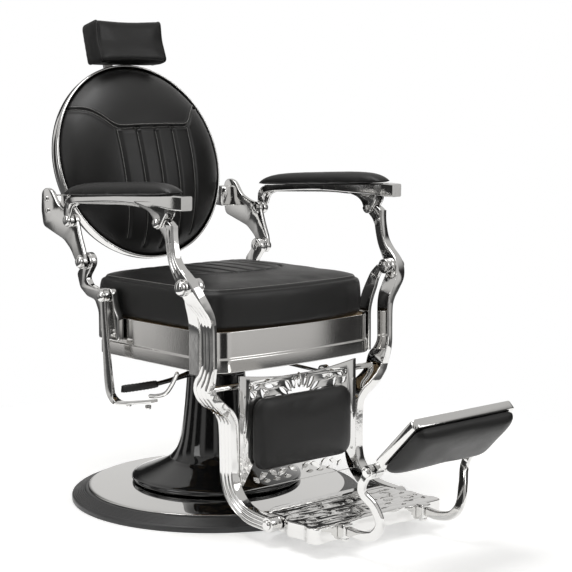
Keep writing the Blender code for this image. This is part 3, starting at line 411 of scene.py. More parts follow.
def seat_plan(inset=0.0, front_radius=0.060, rear_radius=0.030, bow=0.010):
    """The seat's plan, with rounded corners and a front that bows forwards."""
    half = SEAT_HALF - inset
    front, rear = SEAT_FRONT + inset, SEAT_REAR - inset
    middle = [0.9 - 0.1 * k for k in range(19)]
    points = arc((half - front_radius, front + bow + front_radius), front_radius, 0, -90, 20)
    reach = half - front_radius
    points += [(reach * part, front + bow * part * part) for part in middle]
    points += arc((front_radius - half, front + bow + front_radius), front_radius, -90, -180, 20)
    points += arc((rear_radius - half, rear - rear_radius), rear_radius, 180, 90, 12)
    points += arc((half - rear_radius, rear - rear_radius), rear_radius, 90, 0, 12)
    return points


def band(bm, plan, section):
    """Carries a section of (offset outwards, height) round a closed plan."""
    area = sum(a[0] * b[1] - b[0] * a[1] for a, b in zip(plan, plan[1:] + plan[:1]))
    outwards = 1 if area > 0 else -1
    rows = []
    for i, here in enumerate(plan):
        run = (Vector(plan[(i + 1) % len(plan)]) - Vector(plan[i - 1])).normalized()
        out = Vector((run.y, -run.x)) * outwards
        rows.append([(here[0] + out.x * offset, here[1] + out.y * offset, height)
                     for offset, height in section])
    return skin(bm, rows, closed_path=True)


apron_section = fillet([
    (0.0, APRON_HIGH), (0.0, 0.3945), (0.0042, 0.3905), (0.0042, APRON_LOW),
    (-0.003, APRON_LOW), (-0.003, APRON_HIGH)], 0.0016, 4, closed=True)
finished("polished_apron", band(bmesh.new(), seat_plan(), apron_section), band_steel, "seat",
         "seat_apron", sharp=50)

# ---- Seat board and cushion ----
# Plywood under a thick boxed cushion of black hide. Its top panel is sewn to the sides with
# one pale stitched seam, and five sewn channels fan over the middle of the top.
plywood = surface("birch_ply", (0.42, 0.30, 0.17), 0.6, tone=0.2, broad=30)


def plate(bm, outline, low, high, axis, edge=0.0008, steps=2):
    """Adds a flat outline given thickness, with its edges rounded over."""
    place = {"X": lambda a, b, c: (c, a, b), "Y": lambda a, b, c: (a, c, b),
             "Z": lambda a, b, c: (a, b, c)}[axis]
    points = [Vector(point) for point in outline]
    kept = [p for i, p in enumerate(points) if (p - points[i - 1]).length > 1e-6]
    area = sum(a.x * b.y - b.x * a.y for a, b in zip(kept, kept[1:] + kept[:1]))
    turn_in = 1 if area > 0 else -1
    inward = []
    for i, here in enumerate(kept):
        before, after = here - kept[i - 1], kept[(i + 1) % len(kept)] - here
        normals = [Vector((-v.y, v.x)).normalized() * turn_in for v in (before, after)]
        total = normals[0] + normals[1]
        inward.append(total / max(0.35, 1 + normals[0].dot(normals[1])))
    rows = []
    for k in range(steps + 1):
        angle = math.pi / 2 * k / steps
        rows.append((edge * (1 - math.sin(angle)), low + edge * (1 - math.cos(angle))))
    rows += [(inset, high - (level - low)) for inset, level in reversed(rows)]
    return skin(bm, [[place(*(p + n * inset), level) for p, n in zip(kept, inward)]
                     for inset, level in rows])


finished("seat_ply", plate(bmesh.new(), seat_plan(0.008, 0.053, 0.023), 0.4297, 0.4490, "Z",
                           0.0015), plywood, "seat", "seat_board")


def hide_material():
    """Soft black hide: pebbled grain, finer pores, a dull bloom and slow changes of shade."""
    made = surface("black_hide", (0.0115, 0.0112, 0.011), 0.40, vary=0.06, tone=0.28, broad=11,
                   specular_ior_level=0.42)
    nodes, links = made.node_tree.nodes, made.node_tree.links
    place = nodes.new("ShaderNodeTexCoord")
    pebbles = nodes.new("ShaderNodeTexVoronoi")
    pebbles.feature = "DISTANCE_TO_EDGE"
    pebbles.inputs["Scale"].default_value = 620
    pores = nodes.new("ShaderNodeTexNoise")
    pores.inputs["Scale"].default_value = 1500
    links.new(place.outputs["Object"], pebbles.inputs["Vector"])
    links.new(place.outputs["Object"], pores.inputs["Vector"])
    grain = nodes.new("ShaderNodeMath")
    grain.operation = "MULTIPLY_ADD"
    grain.inputs[1].default_value = 0.35
    links.new(pores.outputs["Fac"], grain.inputs[0])
    links.new(pebbles.outputs["Distance"], grain.inputs[2])
    bump = nodes.new("ShaderNodeBump")
    bump.inputs["Strength"].default_value = 0.55
    bump.inputs["Distance"].default_value = 0.00035
    links.new(grain.outputs[0], bump.inputs["Height"])
    links.new(bump.outputs["Normal"], nodes["Principled BSDF"].inputs["Normal"])
    return made


black_hide = hide_material()
pale_thread = surface("pale_thread", (0.42, 0.415, 0.40), 0.6, tone=0.2, broad=300)


def plain_mesh(obj):
    """The object's evaluated mesh, set in place of its own, with no modifier left."""
    graph = bpy.context.evaluated_depsgraph_get()
    baked = bpy.data.meshes.new_from_object(obj.evaluated_get(graph), depsgraph=graph)
    obj.modifiers.clear()
    obj.data = baked
    return obj


def points_of(obj):
    """The mesh's points and vertex normals as arrays."""
    count = len(obj.data.vertices)
    places, normals = np.empty(count * 3), np.empty(count * 3)
    obj.data.vertices.foreach_get("co", places)
    obj.data.vertex_normals.foreach_get("vector", normals)
    return places.reshape(-1, 3), normals.reshape(-1, 3)


CLOTH_STEPS, EVENING_PASSES = 20, 30


def stuffed(name, bm, voxel, cap, pressure=4.0):
    """A closed shape swelled like a filled cushion by a short cloth simulation.

    Each point keeps only its outward move, up to a cap and evened with its neighbours'.
    """
    bmesh.ops.recalc_face_normals(bm, faces=bm.faces)
    obj = linked(name, mesh_of(name, bm))
    remesh = obj.modifiers.new("even", "REMESH")
    remesh.mode = "VOXEL"
    remesh.voxel_size = voxel
    plain_mesh(obj)
    before = np.empty(len(obj.data.vertices) * 3)
    obj.data.vertices.foreach_get("co", before)
    cloth = obj.modifiers.new("filling", "CLOTH")
    cloth.settings.quality = 4
    cloth.settings.mass = 0.35
    cloth.settings.tension_stiffness = 18
    cloth.settings.compression_stiffness = 18
    cloth.settings.bending_stiffness = 0.6
    cloth.settings.use_pressure = True
    cloth.settings.uniform_pressure_force = pressure
    cloth.settings.effector_weights.gravity = 0
    cloth.point_cache.frame_start, cloth.point_cache.frame_end = 1, CLOTH_STEPS
    for step in range(1, CLOTH_STEPS + 1):
        bpy.context.scene.frame_set(step)
    plain_mesh(obj)
    bpy.context.scene.frame_set(1)
    after = np.empty_like(before)
    obj.data.vertices.foreach_get("co", after)
    shift = (after - before).reshape(-1, 3)
    normals = points_of(obj)[1]
    outwards = np.clip((shift * normals).sum(axis=1), 0.0, cap)
    ends = np.empty(len(obj.data.edges) * 2, np.int32)
    obj.data.edges.foreach_get("vertices", ends)
    ends = ends.reshape(-1, 2)
    neighbours = np.bincount(ends.ravel(), minlength=len(outwards))
    for _ in range(EVENING_PASSES):
        around = (np.bincount(ends[:, 0], outwards[ends[:, 1]], len(outwards))
                  + np.bincount(ends[:, 1], outwards[ends[:, 0]], len(outwards)))
        outwards = 0.5 * outwards + 0.5 * around / neighbours
    obj.data.vertices.foreach_set(
        "co", (before.reshape(-1, 3) + normals * outwards[:, None]).ravel())
    soften = obj.modifiers.new("soften", "SMOOTH")
    soften.iterations = 6
    soften.factor = 0.5
    finer = obj.modifiers.new("finer", "SUBSURF")
    finer.levels = finer.render_levels = 1
    return plain_mesh(obj)


def distance_to_runs(flat, runs):
    """How far each 2-D point is from the nearest of some open paths."""
    best = np.full(len(flat), 1e9)
    for run in runs:
        line = np.array(run, float)
        for a, b in zip(line, line[1:]):
            along = b - a
            t = np.clip(((flat - a) @ along) / max(along @ along, 1e-12), 0, 1)
            gap = flat - (a + t[:, None] * along)
            best = np.minimum(best, np.sqrt((gap * gap).sum(axis=1)))
    return best


def press(obj, flat_of, runs, facing, depth, width, ridge=0.0, ridge_gap=0.004):
    """Sinks sewn seams into the side of a cushion that faces one way."""
    places, normals = points_of(obj)
    flat = flat_of(places)
    away = distance_to_runs(flat, runs)
    front = np.clip((normals @ np.array(facing) - 0.05) / 0.25, 0, 1)
    sink = depth * np.exp(-(away / width) ** 2)
    rise = ridge * np.exp(-((away - ridge_gap) / (width * 0.8)) ** 2)
    places += normals * ((rise - sink) * front)[:, None]
    obj.data.vertices.foreach_set("co", places.ravel())
    obj.data.update()


def dress(obj, material, body, fill, *nodes):
    """Gives a finished cushion its hide and its place in the frame."""
    obj.data.materials.clear()
    obj.data.materials.append(material)
    obj.data.shade_smooth()
    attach(obj, body)
    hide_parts(*nodes)
    return obj


def new_tree(name, sockets):
    """An empty Geometry Nodes tree that takes and gives a geometry and has named inputs."""
    tree = bpy.data.node_groups.new(name, "GeometryNodeTree")
    new_socket = tree.interface.new_socket
    new_socket("Geometry", in_out="INPUT", socket_type="NodeSocketGeometry")
    for label, kind, value in sockets:
        new_socket(label, in_out="INPUT", socket_type="NodeSocket" + kind).default_value = value
    new_socket("Material", in_out="INPUT", socket_type="NodeSocketMaterial")
    new_socket("Geometry", in_out="OUTPUT", socket_type="NodeSocketGeometry")
    return tree


def wire(tree, wires):
    """Joins nodes, each wire given as (node, its output, node, its input)."""
    for source, leaving, target, entering in wires:
        tree.links.new(source.outputs[leaving], target.inputs[entering])


def stitch_tree():
    """Short rounded stitches laid end to end along every path of a wire mesh."""
    tree = new_tree("sewn_run", [(label, "Float", value) for label, value in (
        ("Pitch", 0.0036), ("Stitch", 0.0027), ("Thread", 0.0012))])
    make = tree.nodes.new
    entry, end = make("NodeGroupInput"), make("NodeGroupOutput")
    path, even = make("GeometryNodeMeshToCurve"), make("GeometryNodeResampleCurve")
    even.mode = "LENGTH"
    stitch = make("GeometryNodeMeshUVSphere")
    stitch.inputs["Segments"].default_value = 6
    stitch.inputs["Rings"].default_value = 5
    stitch.inputs["Radius"].default_value = 0.5
    size, aim = make("ShaderNodeCombineXYZ"), make("FunctionNodeAlignRotationToVector")
    aim.axis = "X"
    heading = make("GeometryNodeInputTangent")
    lay, whole = make("GeometryNodeInstanceOnPoints"), make("GeometryNodeRealizeInstances")
    colour = make("GeometryNodeSetMaterial")
    wire(tree, (
        (entry, "Geometry", path, "Mesh"), (path, "Curve", even, "Curve"),
        (entry, "Pitch", even, "Length"), (even, "Curve", lay, "Points"),
        (stitch, "Mesh", lay, "Instance"), (entry, "Stitch", size, "X"),
        (entry, "Thread", size, "Y"), (entry, "Thread", size, "Z"), (size, 0, lay, "Scale"),
        (heading, 0, aim, "Vector"), (aim, 0, lay, "Rotation"), (lay, 0, whole, 0),
        (whole, 0, colour, "Geometry"), (entry, "Material", colour, "Material"),
        (colour, 0, end, 0)))
    return tree


SEWN_RUN = stitch_tree()


def grown(obj, tree, values, body):
    """Runs a Geometry Nodes tree on an object and keeps its result as a plain mesh."""
    grower = obj.modifiers.new("grown", "NODES")
    grower.node_group = tree
    for item in tree.interface.items_tree:
        if item.in_out == "INPUT" and item.name in values:
            grower[item.identifier] = values[item.name]
    plain_mesh(obj)
    for face in obj.data.polygons:
        face.use_smooth = True
    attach(obj, body)
    return obj


THREAD, STITCH, SEWING_REACH = 0.0013, 0.0029, 0.12


def stitched(name, bm, body):
    """Stitches along a wire of edges, as one plain piece."""
    return grown(linked(name, mesh_of(name, bm)), SEWN_RUN,
                 {"Thread": THREAD, "Stitch": STITCH, "Material": pale_thread}, body)


def sew(name, cushion, paths, direction, body, proud=0.0002):
    """Stitches along paths, each dropped on to the cushion along a direction."""
    tree = BVHTree.FromObject(cushion, bpy.context.evaluated_depsgraph_get())
    bm = bmesh.new()
    for path in paths:
        before = None
        for point in path:
            start = Vector(point) - Vector(direction) * SEWING_REACH
            hit, normal = tree.ray_cast(start, Vector(direction))[:2]
            if hit is None:
                before = None
                continue
            here = bm.verts.new(hit + normal * proud)
            if before:
                bm.edges.new((before, here))
            before = here
    return stitched(name, bm, body)


CUSHION_REAR = 0.173


def cushion_plan(inset):
    """The cushion's plan, as points (x, y), with a front that bows forwards."""
    half = 0.2450 - inset
    front, rear = -0.3045 + inset, CUSHION_REAR - 0.001 - inset
    round_front = max(0.055 - 0.4 * inset, 0.012)
    points = arc((half - round_front, front + 0.020 + round_front), round_front, 0, -80, 12)
    reach = (half - round_front) * 0.97
    points += [(reach * part, front + 0.0165 * part * part)
               for part in (0.9 - 0.15 * k for k in range(13))]
    points += arc((round_front - half, front + 0.020 + round_front), round_front, -100, -180, 12)
    points += arc((0.045 - half, rear - 0.045), 0.045, 180, 90, 8)
    points += arc((half - 0.045, rear - 0.045), 0.045, 90, 0, 8)
    return points


SEAT_CAP = 0.007
seat_levels = [(0.014, 0.4500), (0.005, 0.4530), (0.0030, 0.4640), (0.0030, 0.5000),
               (0.0045, 0.5250), (0.0085, 0.5370), (0.018, 0.5425), (0.060, 0.5450),
               (0.120, 0.5460), (0.170, 0.5460)]
seat_cushion = stuffed("seat_cushion_hide", skin(bmesh.new(), [
    [(x, y, level) for x, y in cushion_plan(inset)] for inset, level in seat_levels]),
    0.006, SEAT_CAP)
# The top dips a little where the sitter's thighs go and rises to the rear middle.
places, normals = points_of(seat_cushion)
upper = np.clip((places[:, 2] - 0.505) / 0.035, 0, 1)
dish = -0.004 * np.exp(-(places[:, 0] / 0.13) ** 2) * np.exp(-((places[:, 1] + 0.24) / 0.08) ** 2)
crown = 0.0075 * np.clip(1 - (places[:, 0] / 0.235) ** 2, 0, 1) * np.clip(
    1 - ((places[:, 1] + 0.055) / 0.235) ** 2, 0, 1)
places[:, 2] += upper * (dish + crown)
seat_cushion.data.vertices.foreach_set("co", places.ravel())
seat_cushion.data.update()
CHANNELS = (-0.100, -0.050, 0.0, 0.050, 0.100)
fan_rear, fan_front = 0.176, -0.135
seat_runs = []
for x in CHANNELS:
    seat_runs.append([(x * (1 - 0.10 * (k / 20) ** 2), fan_rear - (fan_rear - fan_front) * k / 20)
                      for k in range(19 if abs(x) > 0.08 else 21)])
front_arch = [(0.128 * math.sin(a), -0.075 - 0.070 * math.cos(a))
              for a in (math.pi * (k - 20) / 40 for k in range(41))]
arch = [(0.128, 0.176)] + [(x, y) for x, y in reversed(front_arch)] + [(-0.128, 0.176)]
press(seat_cushion, lambda p: p[:, :2], seat_runs, (0, 0, 1), 0.0040, 0.0048)
press(seat_cushion, lambda p: p[:, :2], [arch], (0, 0, 1), 0.0045, 0.0050, 0.0012, 0.009)
EDGE_SEAM = 0.5385
places, normals = points_of(seat_cushion)
side = np.clip((np.hypot(normals[:, 0], normals[:, 1]) - 0.25) / 0.25, 0, 1)
places -= normals * (side * 0.0026 * np.exp(-((places[:, 2] - EDGE_SEAM) / 0.0032) ** 2))[:, None]
seat_cushion.data.vertices.foreach_set("co", places.ravel())
seat_cushion.data.update()
dress(seat_cushion, black_hide, "seat", 0.85, "seat_cushion")
sew("seat_channel_stitches", seat_cushion, [[(x, y, 0.55) for x, y in run] for run in
                                            seat_runs + [arch]], (0, 0, -1), "seat")


def sew_ring(name, cushion, plan, level, centre, body, proud=0.0002):
    """Stitches round the cushion's side, all at one height."""
    tree = BVHTree.FromObject(cushion, bpy.context.evaluated_depsgraph_get())
    bm = bmesh.new()
    before = None
    for x, y in plan + plan[:1]:
        inward = (Vector((*centre, level)) - Vector((x, y, level))).normalized()
        start = Vector((x, y, level)) - inward * SEWING_REACH / 2
        hit, normal = tree.ray_cast(start, inward)[:2]
        if hit is not None:
            here = bm.verts.new(hit + normal * proud)
            if before:
                bm.edges.new((before, here))
            before = here
    return stitched(name, bm, body)


sew_ring("seat_edge_stitches", seat_cushion, cushion_plan(0.0), EDGE_SEAM + 0.0035, (0, -0.06),
         "seat")

# ---- Knee lugs, back lugs and hinge pins ----
# Thick plated ears bolted to the apron's sides. The front ones carry the legrest and the
# rear ones sweep back under the backrest's brackets. Domed pins pass through them.
cast_chrome = surface("cast_chrome", (0.76, 0.755, 0.745), 0.065, 1.0, vary=0.015, tone=0.02,
                      relief=0.0002, broad=26)
LUG_IN = 0.2538
KNEE, BACK, LEVER = (-0.287, 0.560), (0.147, 0.577), (0.064, 0.504)


def across(x, y, z):
    """A placing whose own +Z points along +X."""
    return Matrix.Translation((x, y, z)) @ Matrix.Rotation(math.pi / 2, 4, "Y")


def both(low, high, sign):
    """Two X values for one side of the chair, lower one first."""
    return (low, high) if sign > 0 else (-high, -low)


def boss(bm, place, radius, low, high, edge=0.0012, steps=48):
    """Adds a round boss along X at a (y, z) place, with rounded rims."""
    profile = fillet([(0, low), (radius, low), (radius, high), (0, high)], edge, 3)
    return lathe(bm, profile, steps, across(0, *place))


def domed_cap(bm, sign, place, inner, outer, radius, cap):
    """Adds a pin with a domed cap outside and a hexagonal nut inside."""
    dome = [(cap * math.sin(a), outer + 0.0034 + 0.0062 * math.cos(a) * cap / 0.0155)
            for a in (math.pi / 2 * (1 - k / 8) for k in range(9))]
    profile = [(0, inner - 0.0055), (radius, inner - 0.0055), (radius, outer + 0.0004),
               (cap - 0.001, outer + 0.0004), (cap, outer + 0.0012)] + dome
    placing = Matrix.Translation((0, *place)) @ Matrix.Scale(sign, 4, (1, 0, 0)) @ across(0, 0, 0)
    lathe(bm, profile, 48, placing)
    nut = [(cap * 0.82 * math.cos(math.pi / 3 * k) + place[0],
            cap * 0.82 * math.sin(math.pi / 3 * k) + place[1]) for k in range(6)]
    plate(bm, nut, *both(inner - 0.0060, inner - 0.0005, sign), "X", 0.0006)
    return bm


def bar_section(width, depth, corner, dips, side):
    """A rounded bar section as (across, deep) points, fluted on the side facing outwards."""
    half_w, half_d = width / 2, depth / 2
    r = min(corner, half_w * 0.96, half_d * 0.96)
    points = []
    for k in range(25):
        v = (half_d - r) * (k / 12 - 1)
        sunk = sum(deep * math.exp(-((v / half_d - spot) / 0.10) ** 2) for spot, deep in dips)
        points.append((side * (half_w - sunk), v))
    for centre_u, centre_v, start in ((half_w - r, half_d - r, 0), (r - half_w, half_d - r, 90),
                                      (r - half_w, r - half_d, 180), (half_w - r, r - half_d, 270)):
        for k in range(1, 5):
            angle = math.radians(start + 22.5 * k - (1 if k == 4 else 0))
            points.append((side * (centre_u + r * math.cos(angle)),
                           centre_v + r * math.sin(angle)))
    return points


def bar_frames(places):
    """At each point of a path, the way along it, the way nearest to +X and the third way."""
    frames = []
    for i in range(len(places)):
        run = (places[min(i + 1, len(places) - 1)] - places[max(i - 1, 0)]).normalized()
        wide = (Vector((1, 0, 0)) - run * run.x).normalized()
        frames.append((run, wide, run.cross(wide)))
    return frames


def swept(bm, stations, corner=0.004, side=1, flutes=None):
    """Adds a bar along (x, y, z, width, depth) stations, its width nearest to X."""
    places = [Vector(station[:3]) for station in stations]
    rows = []
    for place, (run, wide, deep), station in zip(places, bar_frames(places), stations):
        height, width, depth = station[2:]
        dips = flutes(height) if flutes else ()
        rows.append([place + wide * u + deep * v
                     for u, v in bar_section(width, depth, corner, dips, side)])
    return skin(bm, rows)


def sided(path, steps, sign):
    """Bar stations on a smooth curve, put on one side of the chair."""
    return [(sign * x, y, z, w, d) for x, y, z, w, d in smooth_path(path, steps)]


for side_name, sign in SIDES:
    lug = swept(bmesh.new(), sided([
        (0.2594, -0.2460, 0.3590, 0.0100, 0.036), (0.2594, -0.2460, 0.4100, 0.0100, 0.036),
        (0.2594, -0.2465, 0.4550, 0.0100, 0.036), (0.2645, -0.2490, 0.4850, 0.0105, 0.036),
        (0.2745, -0.2520, 0.5120, 0.0105, 0.034), (0.2825, -0.2560, 0.5350, 0.0100, 0.028),
        (0.2850, -0.2710, 0.5560, 0.0100, 0.020)], 10, sign), 0.0032, sign)
    boss(lug, KNEE, 0.0175, *both(0.2800, 0.2912, sign), 0.0015)
    finished("knee_ear_" + side_name, lug, cast_chrome, "seat", "knee_lug_" + side_name)
    lug = plate(bmesh.new(), fillet(
        [(0.026, 0.400), (0.104, 0.400), (0.104, 0.462), (0.118, 0.488), (0.150, 0.494),
         (0.178, 0.512), (0.190, 0.545)] + arc(BACK, 0.021, -20, 215, 30)
        + [(0.152, 0.538), (0.140, 0.522), (0.108, 0.515), (0.080, 0.520)]
        + arc(LEVER, 0.017, 75, 180, 12) + [(0.040, 0.475), (0.026, 0.455)], 0.007, 3, True),
        *both(LUG_IN, 0.2697, sign), "X", 0.0022, 3)
    boss(lug, BACK, 0.0188, *both(0.2690, 0.2742, sign), 0.0015)
    for place in ((0.046, 0.420), (0.084, 0.420)):
        boss(lug, place, 0.0070, *both(0.2690, 0.2735, sign), 0.0015, 32)
    if sign < 0:
        lathe(lug, fillet([(0, -0.2975), (0.006, -0.2968), (0.0115, -0.2938), (0.0130, -0.2905),
                           (0.0130, -0.2872), (0.0052, -0.2872), (0.0052, -0.2620),
                           (0, -0.2620)], 0.0015, 3), 48, across(0, *LEVER))
    finished("back_ear_" + side_name, lug, cast_chrome, "seat", "back_lug_" + side_name)
    finished("knee_cap_" + side_name, domed_cap(
        bmesh.new(), sign, KNEE, 0.2800, 0.3305, 0.0068, 0.0155), mirror_chrome, "seat",
        "knee_pin_" + side_name)
    finished("back_cap_" + side_name, domed_cap(
        bmesh.new(), sign, BACK, LUG_IN, 0.2900, 0.0058, 0.0130), mirror_chrome, "seat",
        "back_pin_" + side_name)

# ---- Backrest shell and board ----
# A spun, plated steel dish whose rolled lip holds the cushion. A plywood disc inside carries
# the upholstery.
BACK_CENTRE, BACK_TILT = Vector((0, 0.280, 0.802)), math.radians(15.1)
BACK_UP = Vector((0, math.sin(BACK_TILT), math.cos(BACK_TILT)))
BACK_OUT = Vector((0, -math.cos(BACK_TILT), math.sin(BACK_TILT)))
BACK_PLACE = Matrix.Translation(BACK_CENTRE) @ Matrix.Rotation(math.pi / 2 - BACK_TILT, 4, "X")


def back_point(x, up, front):
    """A point given in the backrest's own directions from its centre."""
    return BACK_CENTRE + Vector((x, 0, 0)) + up * BACK_UP + front * BACK_OUT


finished("spun_shell", lathe(bmesh.new(), smooth_path([
    (0, -0.064), (0.150, -0.062), (0.228, -0.055), (0.243, -0.042), (0.2475, -0.022),
    (0.2472, -0.013), (0.2445, -0.0100), (0.2418, -0.013), (0.2415, -0.024), (0.2385, -0.039),
    (0.226, -0.0505), (0.150, -0.057), (0, -0.059)], 5), 128, BACK_PLACE), mirror_chrome,
    "backrest", "back_shell", sharp=60)
finished("back_ply", lathe(bmesh.new(), fillet([
    (0, -0.048), (0.222, -0.048), (0.230, -0.044), (0.230, -0.0365), (0, -0.0365)], 0.001, 2),
    96, BACK_PLACE), plywood, "backrest", "back_board")

# ---- Back cushion ----
# A domed round cushion in the same hide. A double seam crosses it like a yoke, and five
# channels run down from the seam to the rim.
DISC_RADIUS = 0.2402
DISC_RIM = 0.2400
dome = [(0.0, -0.0360), (0.2330, -0.0360), (0.2385, -0.0320), (DISC_RIM, -0.0240)]
for k in range(1, 25):
    radius = DISC_RIM * math.cos(math.pi / 2 * k / 24)
    dome.append((radius, -0.0190 + 0.083 * (1 - (radius / DISC_RADIUS) ** 2.8) ** 0.85))
dome[-1] = (0.0, dome[-1][1])
disc = stuffed("back_hide", lathe(bmesh.new(), dome, 96, BACK_PLACE), 0.006, 0.006, 3.0)


def disc_flat(points):
    """The disc's own (across, up) coordinates of some points."""
    from_centre = points - np.array(BACK_CENTRE)
    return np.stack([from_centre[:, 0], from_centre @ np.array(BACK_UP)], axis=1)


half_yoke = smooth_path([(0.0, 0.068), (0.060, 0.068), (0.098, 0.069), (0.116, 0.078),
                         (0.136, 0.100), (0.162, 0.122), (0.196, 0.134)], 6)
yoke = [(-x, up) for x, up in reversed(half_yoke)] + half_yoke[1:]
yoke_upper = [(x, up + 0.0075) for x, up in yoke if abs(x) < 0.190]
FLUTE_TOP, FLUTE_REACH = 0.066, 0.222
flutes = [[(x * (1 - 0.10 * (k / 24) ** 2),
            FLUTE_TOP - k / 24 * (FLUTE_TOP + math.sqrt(FLUTE_REACH ** 2 - x * x)))
           for k in range(25)] for x in (-0.108, -0.054, 0.0, 0.054, 0.108)]
press(disc, disc_flat, flutes, BACK_OUT, 0.0048, 0.0046)
press(disc, disc_flat, [yoke], BACK_OUT, 0.0050, 0.0042, 0.0018, 0.0065)
dress(disc, black_hide, "backrest", 0.85, "back_cushion")
sew("yoke_stitches", disc, [[back_point(x, up, 0.05) for x, up in run] for run in
                            [yoke, yoke_upper] + flutes], -BACK_OUT, "backrest", 0.0003)

# ---- Rear panel of the backrest ----
# A thin padded disc in hide that closes the back of the dish, with a sewn edge.
rear_profile = [(0, -0.0646), (0.150, -0.0628), (0.1865, -0.0602)]
rear_profile += [(0.1865 + 0.0035 * math.sin(a), -0.0637 + 0.0035 * math.cos(a))
                 for a in (math.pi * k / 8 for k in range(1, 8))]
rear_profile += smooth_path([(0.1800, -0.0678), (0.1500, -0.0695), (0.080, -0.0706),
                             (0.0, -0.0708)], 5)
rear_panel = finished("rear_hide", lathe(bmesh.new(), rear_profile, 96, BACK_PLACE), black_hide,
                      "backrest", "back_rear_panel", sharp=60)
sew("rear_stitches", rear_panel, [[back_point(0.172 * math.cos(a), 0.172 * math.sin(a), -0.09)
                                   for a in (math.tau * k / 160 for k in range(161))]],
    BACK_OUT, "backrest")

# ---- Backrest brackets ----
# Plated flat castings at each side of the dish, with a foot bolted to its edge. Each turns
# on the back lug's pin and carries an armrest on another pin.
ARM_REAR, ARM_FRONT = (0.175, 0.673), (-0.206, 0.693)
for side_name, sign in SIDES:
    bracket = plate(bmesh.new(), fillet(
        arc(BACK, 0.0165, 200, 325, 14) + [(0.186, 0.603), (0.214, 0.625), (0.262, 0.640),
        (0.300, 0.652), (0.308, 0.690), (0.304, 0.735), (0.285, 0.745), (0.262, 0.738),
        (0.236, 0.705), (0.205, 0.692)] + arc(ARM_REAR, 0.0155, 70, 190, 12)
        + [(0.150, 0.640), (0.133, 0.600)], 0.010, 5, True), *both(0.2785, 0.2895, sign), "X",
        0.0022, 3)
    boss(bracket, BACK, 0.0168, *both(0.2780, 0.2899, sign), 0.0012)
    boss(bracket, ARM_REAR, 0.0158, *both(0.2780, 0.2899, sign), 0.0012)
    plate(bracket, fillet([(0.266, 0.674), (0.298, 0.676), (0.298, 0.726), (0.270, 0.726)],
                          0.004, 3, True), *both(0.2420, 0.2800, sign), "X", 0.0015)
    for place in ((0.279, 0.690), (0.284, 0.718)):
        boss(bracket, place, 0.0065, *both(0.2890, 0.2930, sign), 0.0014, 32)
    finished("back_bracket_cast_" + side_name, bracket, cast_chrome, "backrest",
             "back_bracket_" + side_name)
    finished("arm_rear_cap_" + side_name, domed_cap(
        bmesh.new(), sign, ARM_REAR, 0.2785, 0.3048, 0.0052, 0.0120), mirror_chrome,
        "backrest", "arm_rear_pin_" + side_name)

# ---- Headrest ----
# A socket on the back of the dish clamps a flat steel post with a black knob. A plate
# hinged on the post holds a boxed cushion, hollowed in front and piped round its ends.
POST_OUT, HINGE_UP = -0.085, 0.300


def back_box(bm, low, high, edge=0.001):
    """Adds a box in the backrest's own (x, up, front) directions."""
    outline = fillet([(low[0], low[1]), (high[0], low[1]), (high[0], high[1]),
                      (low[0], high[1])], edge * 1.5, 2, True)
    rows = []
    for inset, level in ((edge, low[2]), (0, low[2] + edge), (0, high[2] - edge),
                         (edge, high[2])):
        middle = Vector(((low[0] + high[0]) / 2, (low[1] + high[1]) / 2))
        rows.append([back_point(*(Vector(p) + (middle - Vector(p)).normalized() * inset), level)
                     for p in outline])
    return skin(bm, rows)


socket = bmesh.new()
for low, high in (((-0.030, 0.055, -0.0788), (0.030, 0.150, -0.0714)),
                  ((-0.030, 0.055, -0.1010), (0.030, 0.150, -0.0912)),
                  ((-0.030, 0.055, -0.0918), (-0.0128, 0.150, -0.0782)),
                  ((0.0128, 0.055, -0.0918), (0.030, 0.150, -0.0782))):
    back_box(socket, low, high)
finished("post_socket", socket, cast_chrome, "backrest", "headrest_socket")
knob_profile = fillet([(0, -0.1255), (0.014, -0.1255), (0.0185, -0.1225), (0.0185, -0.1135),
                       (0.012, -0.1105), (0.008, -0.1095), (0.008, -0.1016), (0, -0.1016)],
                      0.0015, 3)
finished("clamp_knob", lathe(bmesh.new(), knob_profile, 64, BACK_PLACE @ Matrix.Translation(
    (0, 0.105, 0))), gloss_enamel, "headrest_knob", "headrest_knob")
post = back_box(bmesh.new(), (-0.0118, -0.040, POST_OUT - 0.005),
                (0.0118, HINGE_UP - 0.004, POST_OUT + 0.005))
hinge = across(*back_point(0, HINGE_UP, POST_OUT))
lathe(post, fillet([(0, -0.0110), (0.011, -0.0110), (0.011, 0.0110), (0, 0.0110)], 0.001, 2),
      32, hinge)
for k in range(9):
    back_box(post, (-0.0105, 0.150 + 0.012 * k, POST_OUT - 0.0062),
             (0.0105, 0.1545 + 0.012 * k, POST_OUT - 0.0045), 0.0005)
finished("ratchet_post", post, ground_steel, "headrest_slider", "headrest_post")
carrier = back_box(bmesh.new(), (-0.055, 0.262, -0.0375), (0.055, 0.338, -0.0335))
for low, high in ((-0.0174, -0.0124), (0.0124, 0.0174)):
    back_box(carrier, (low, 0.288, POST_OUT - 0.009), (high, 0.312, -0.0355))
lathe(carrier, fillet([(0, -0.022), (0.0040, -0.022), (0.0040, 0.022), (0, 0.022)], 0.001, 2),
      24, hinge)
finished("pillow_carrier", carrier, ground_steel, "headrest", "headrest_plate")


def pillow_row(x, inset):
    """A rounded cross-section of the headrest cushion, hollowed in front."""
    front, rear = 0.036 - inset, -0.0325
    low, high = 0.2470 + inset, 0.3510 - inset
    hollow = 0.004 * (1 - (x / 0.101) ** 2)
    outline = fillet([
        (low + 0.004, rear), (low + 0.0015, -0.012), (low - 0.003 + hollow, 0.008),
        (low - 0.003 + hollow, front), (0.5 * (low + high), front - 0.007),
        (high - hollow * 1.4, front + 0.001), (high - hollow, 0.004), (high, rear)],
        0.014, 6, True)
    return [back_point(x, up, out) for up, out in outline]


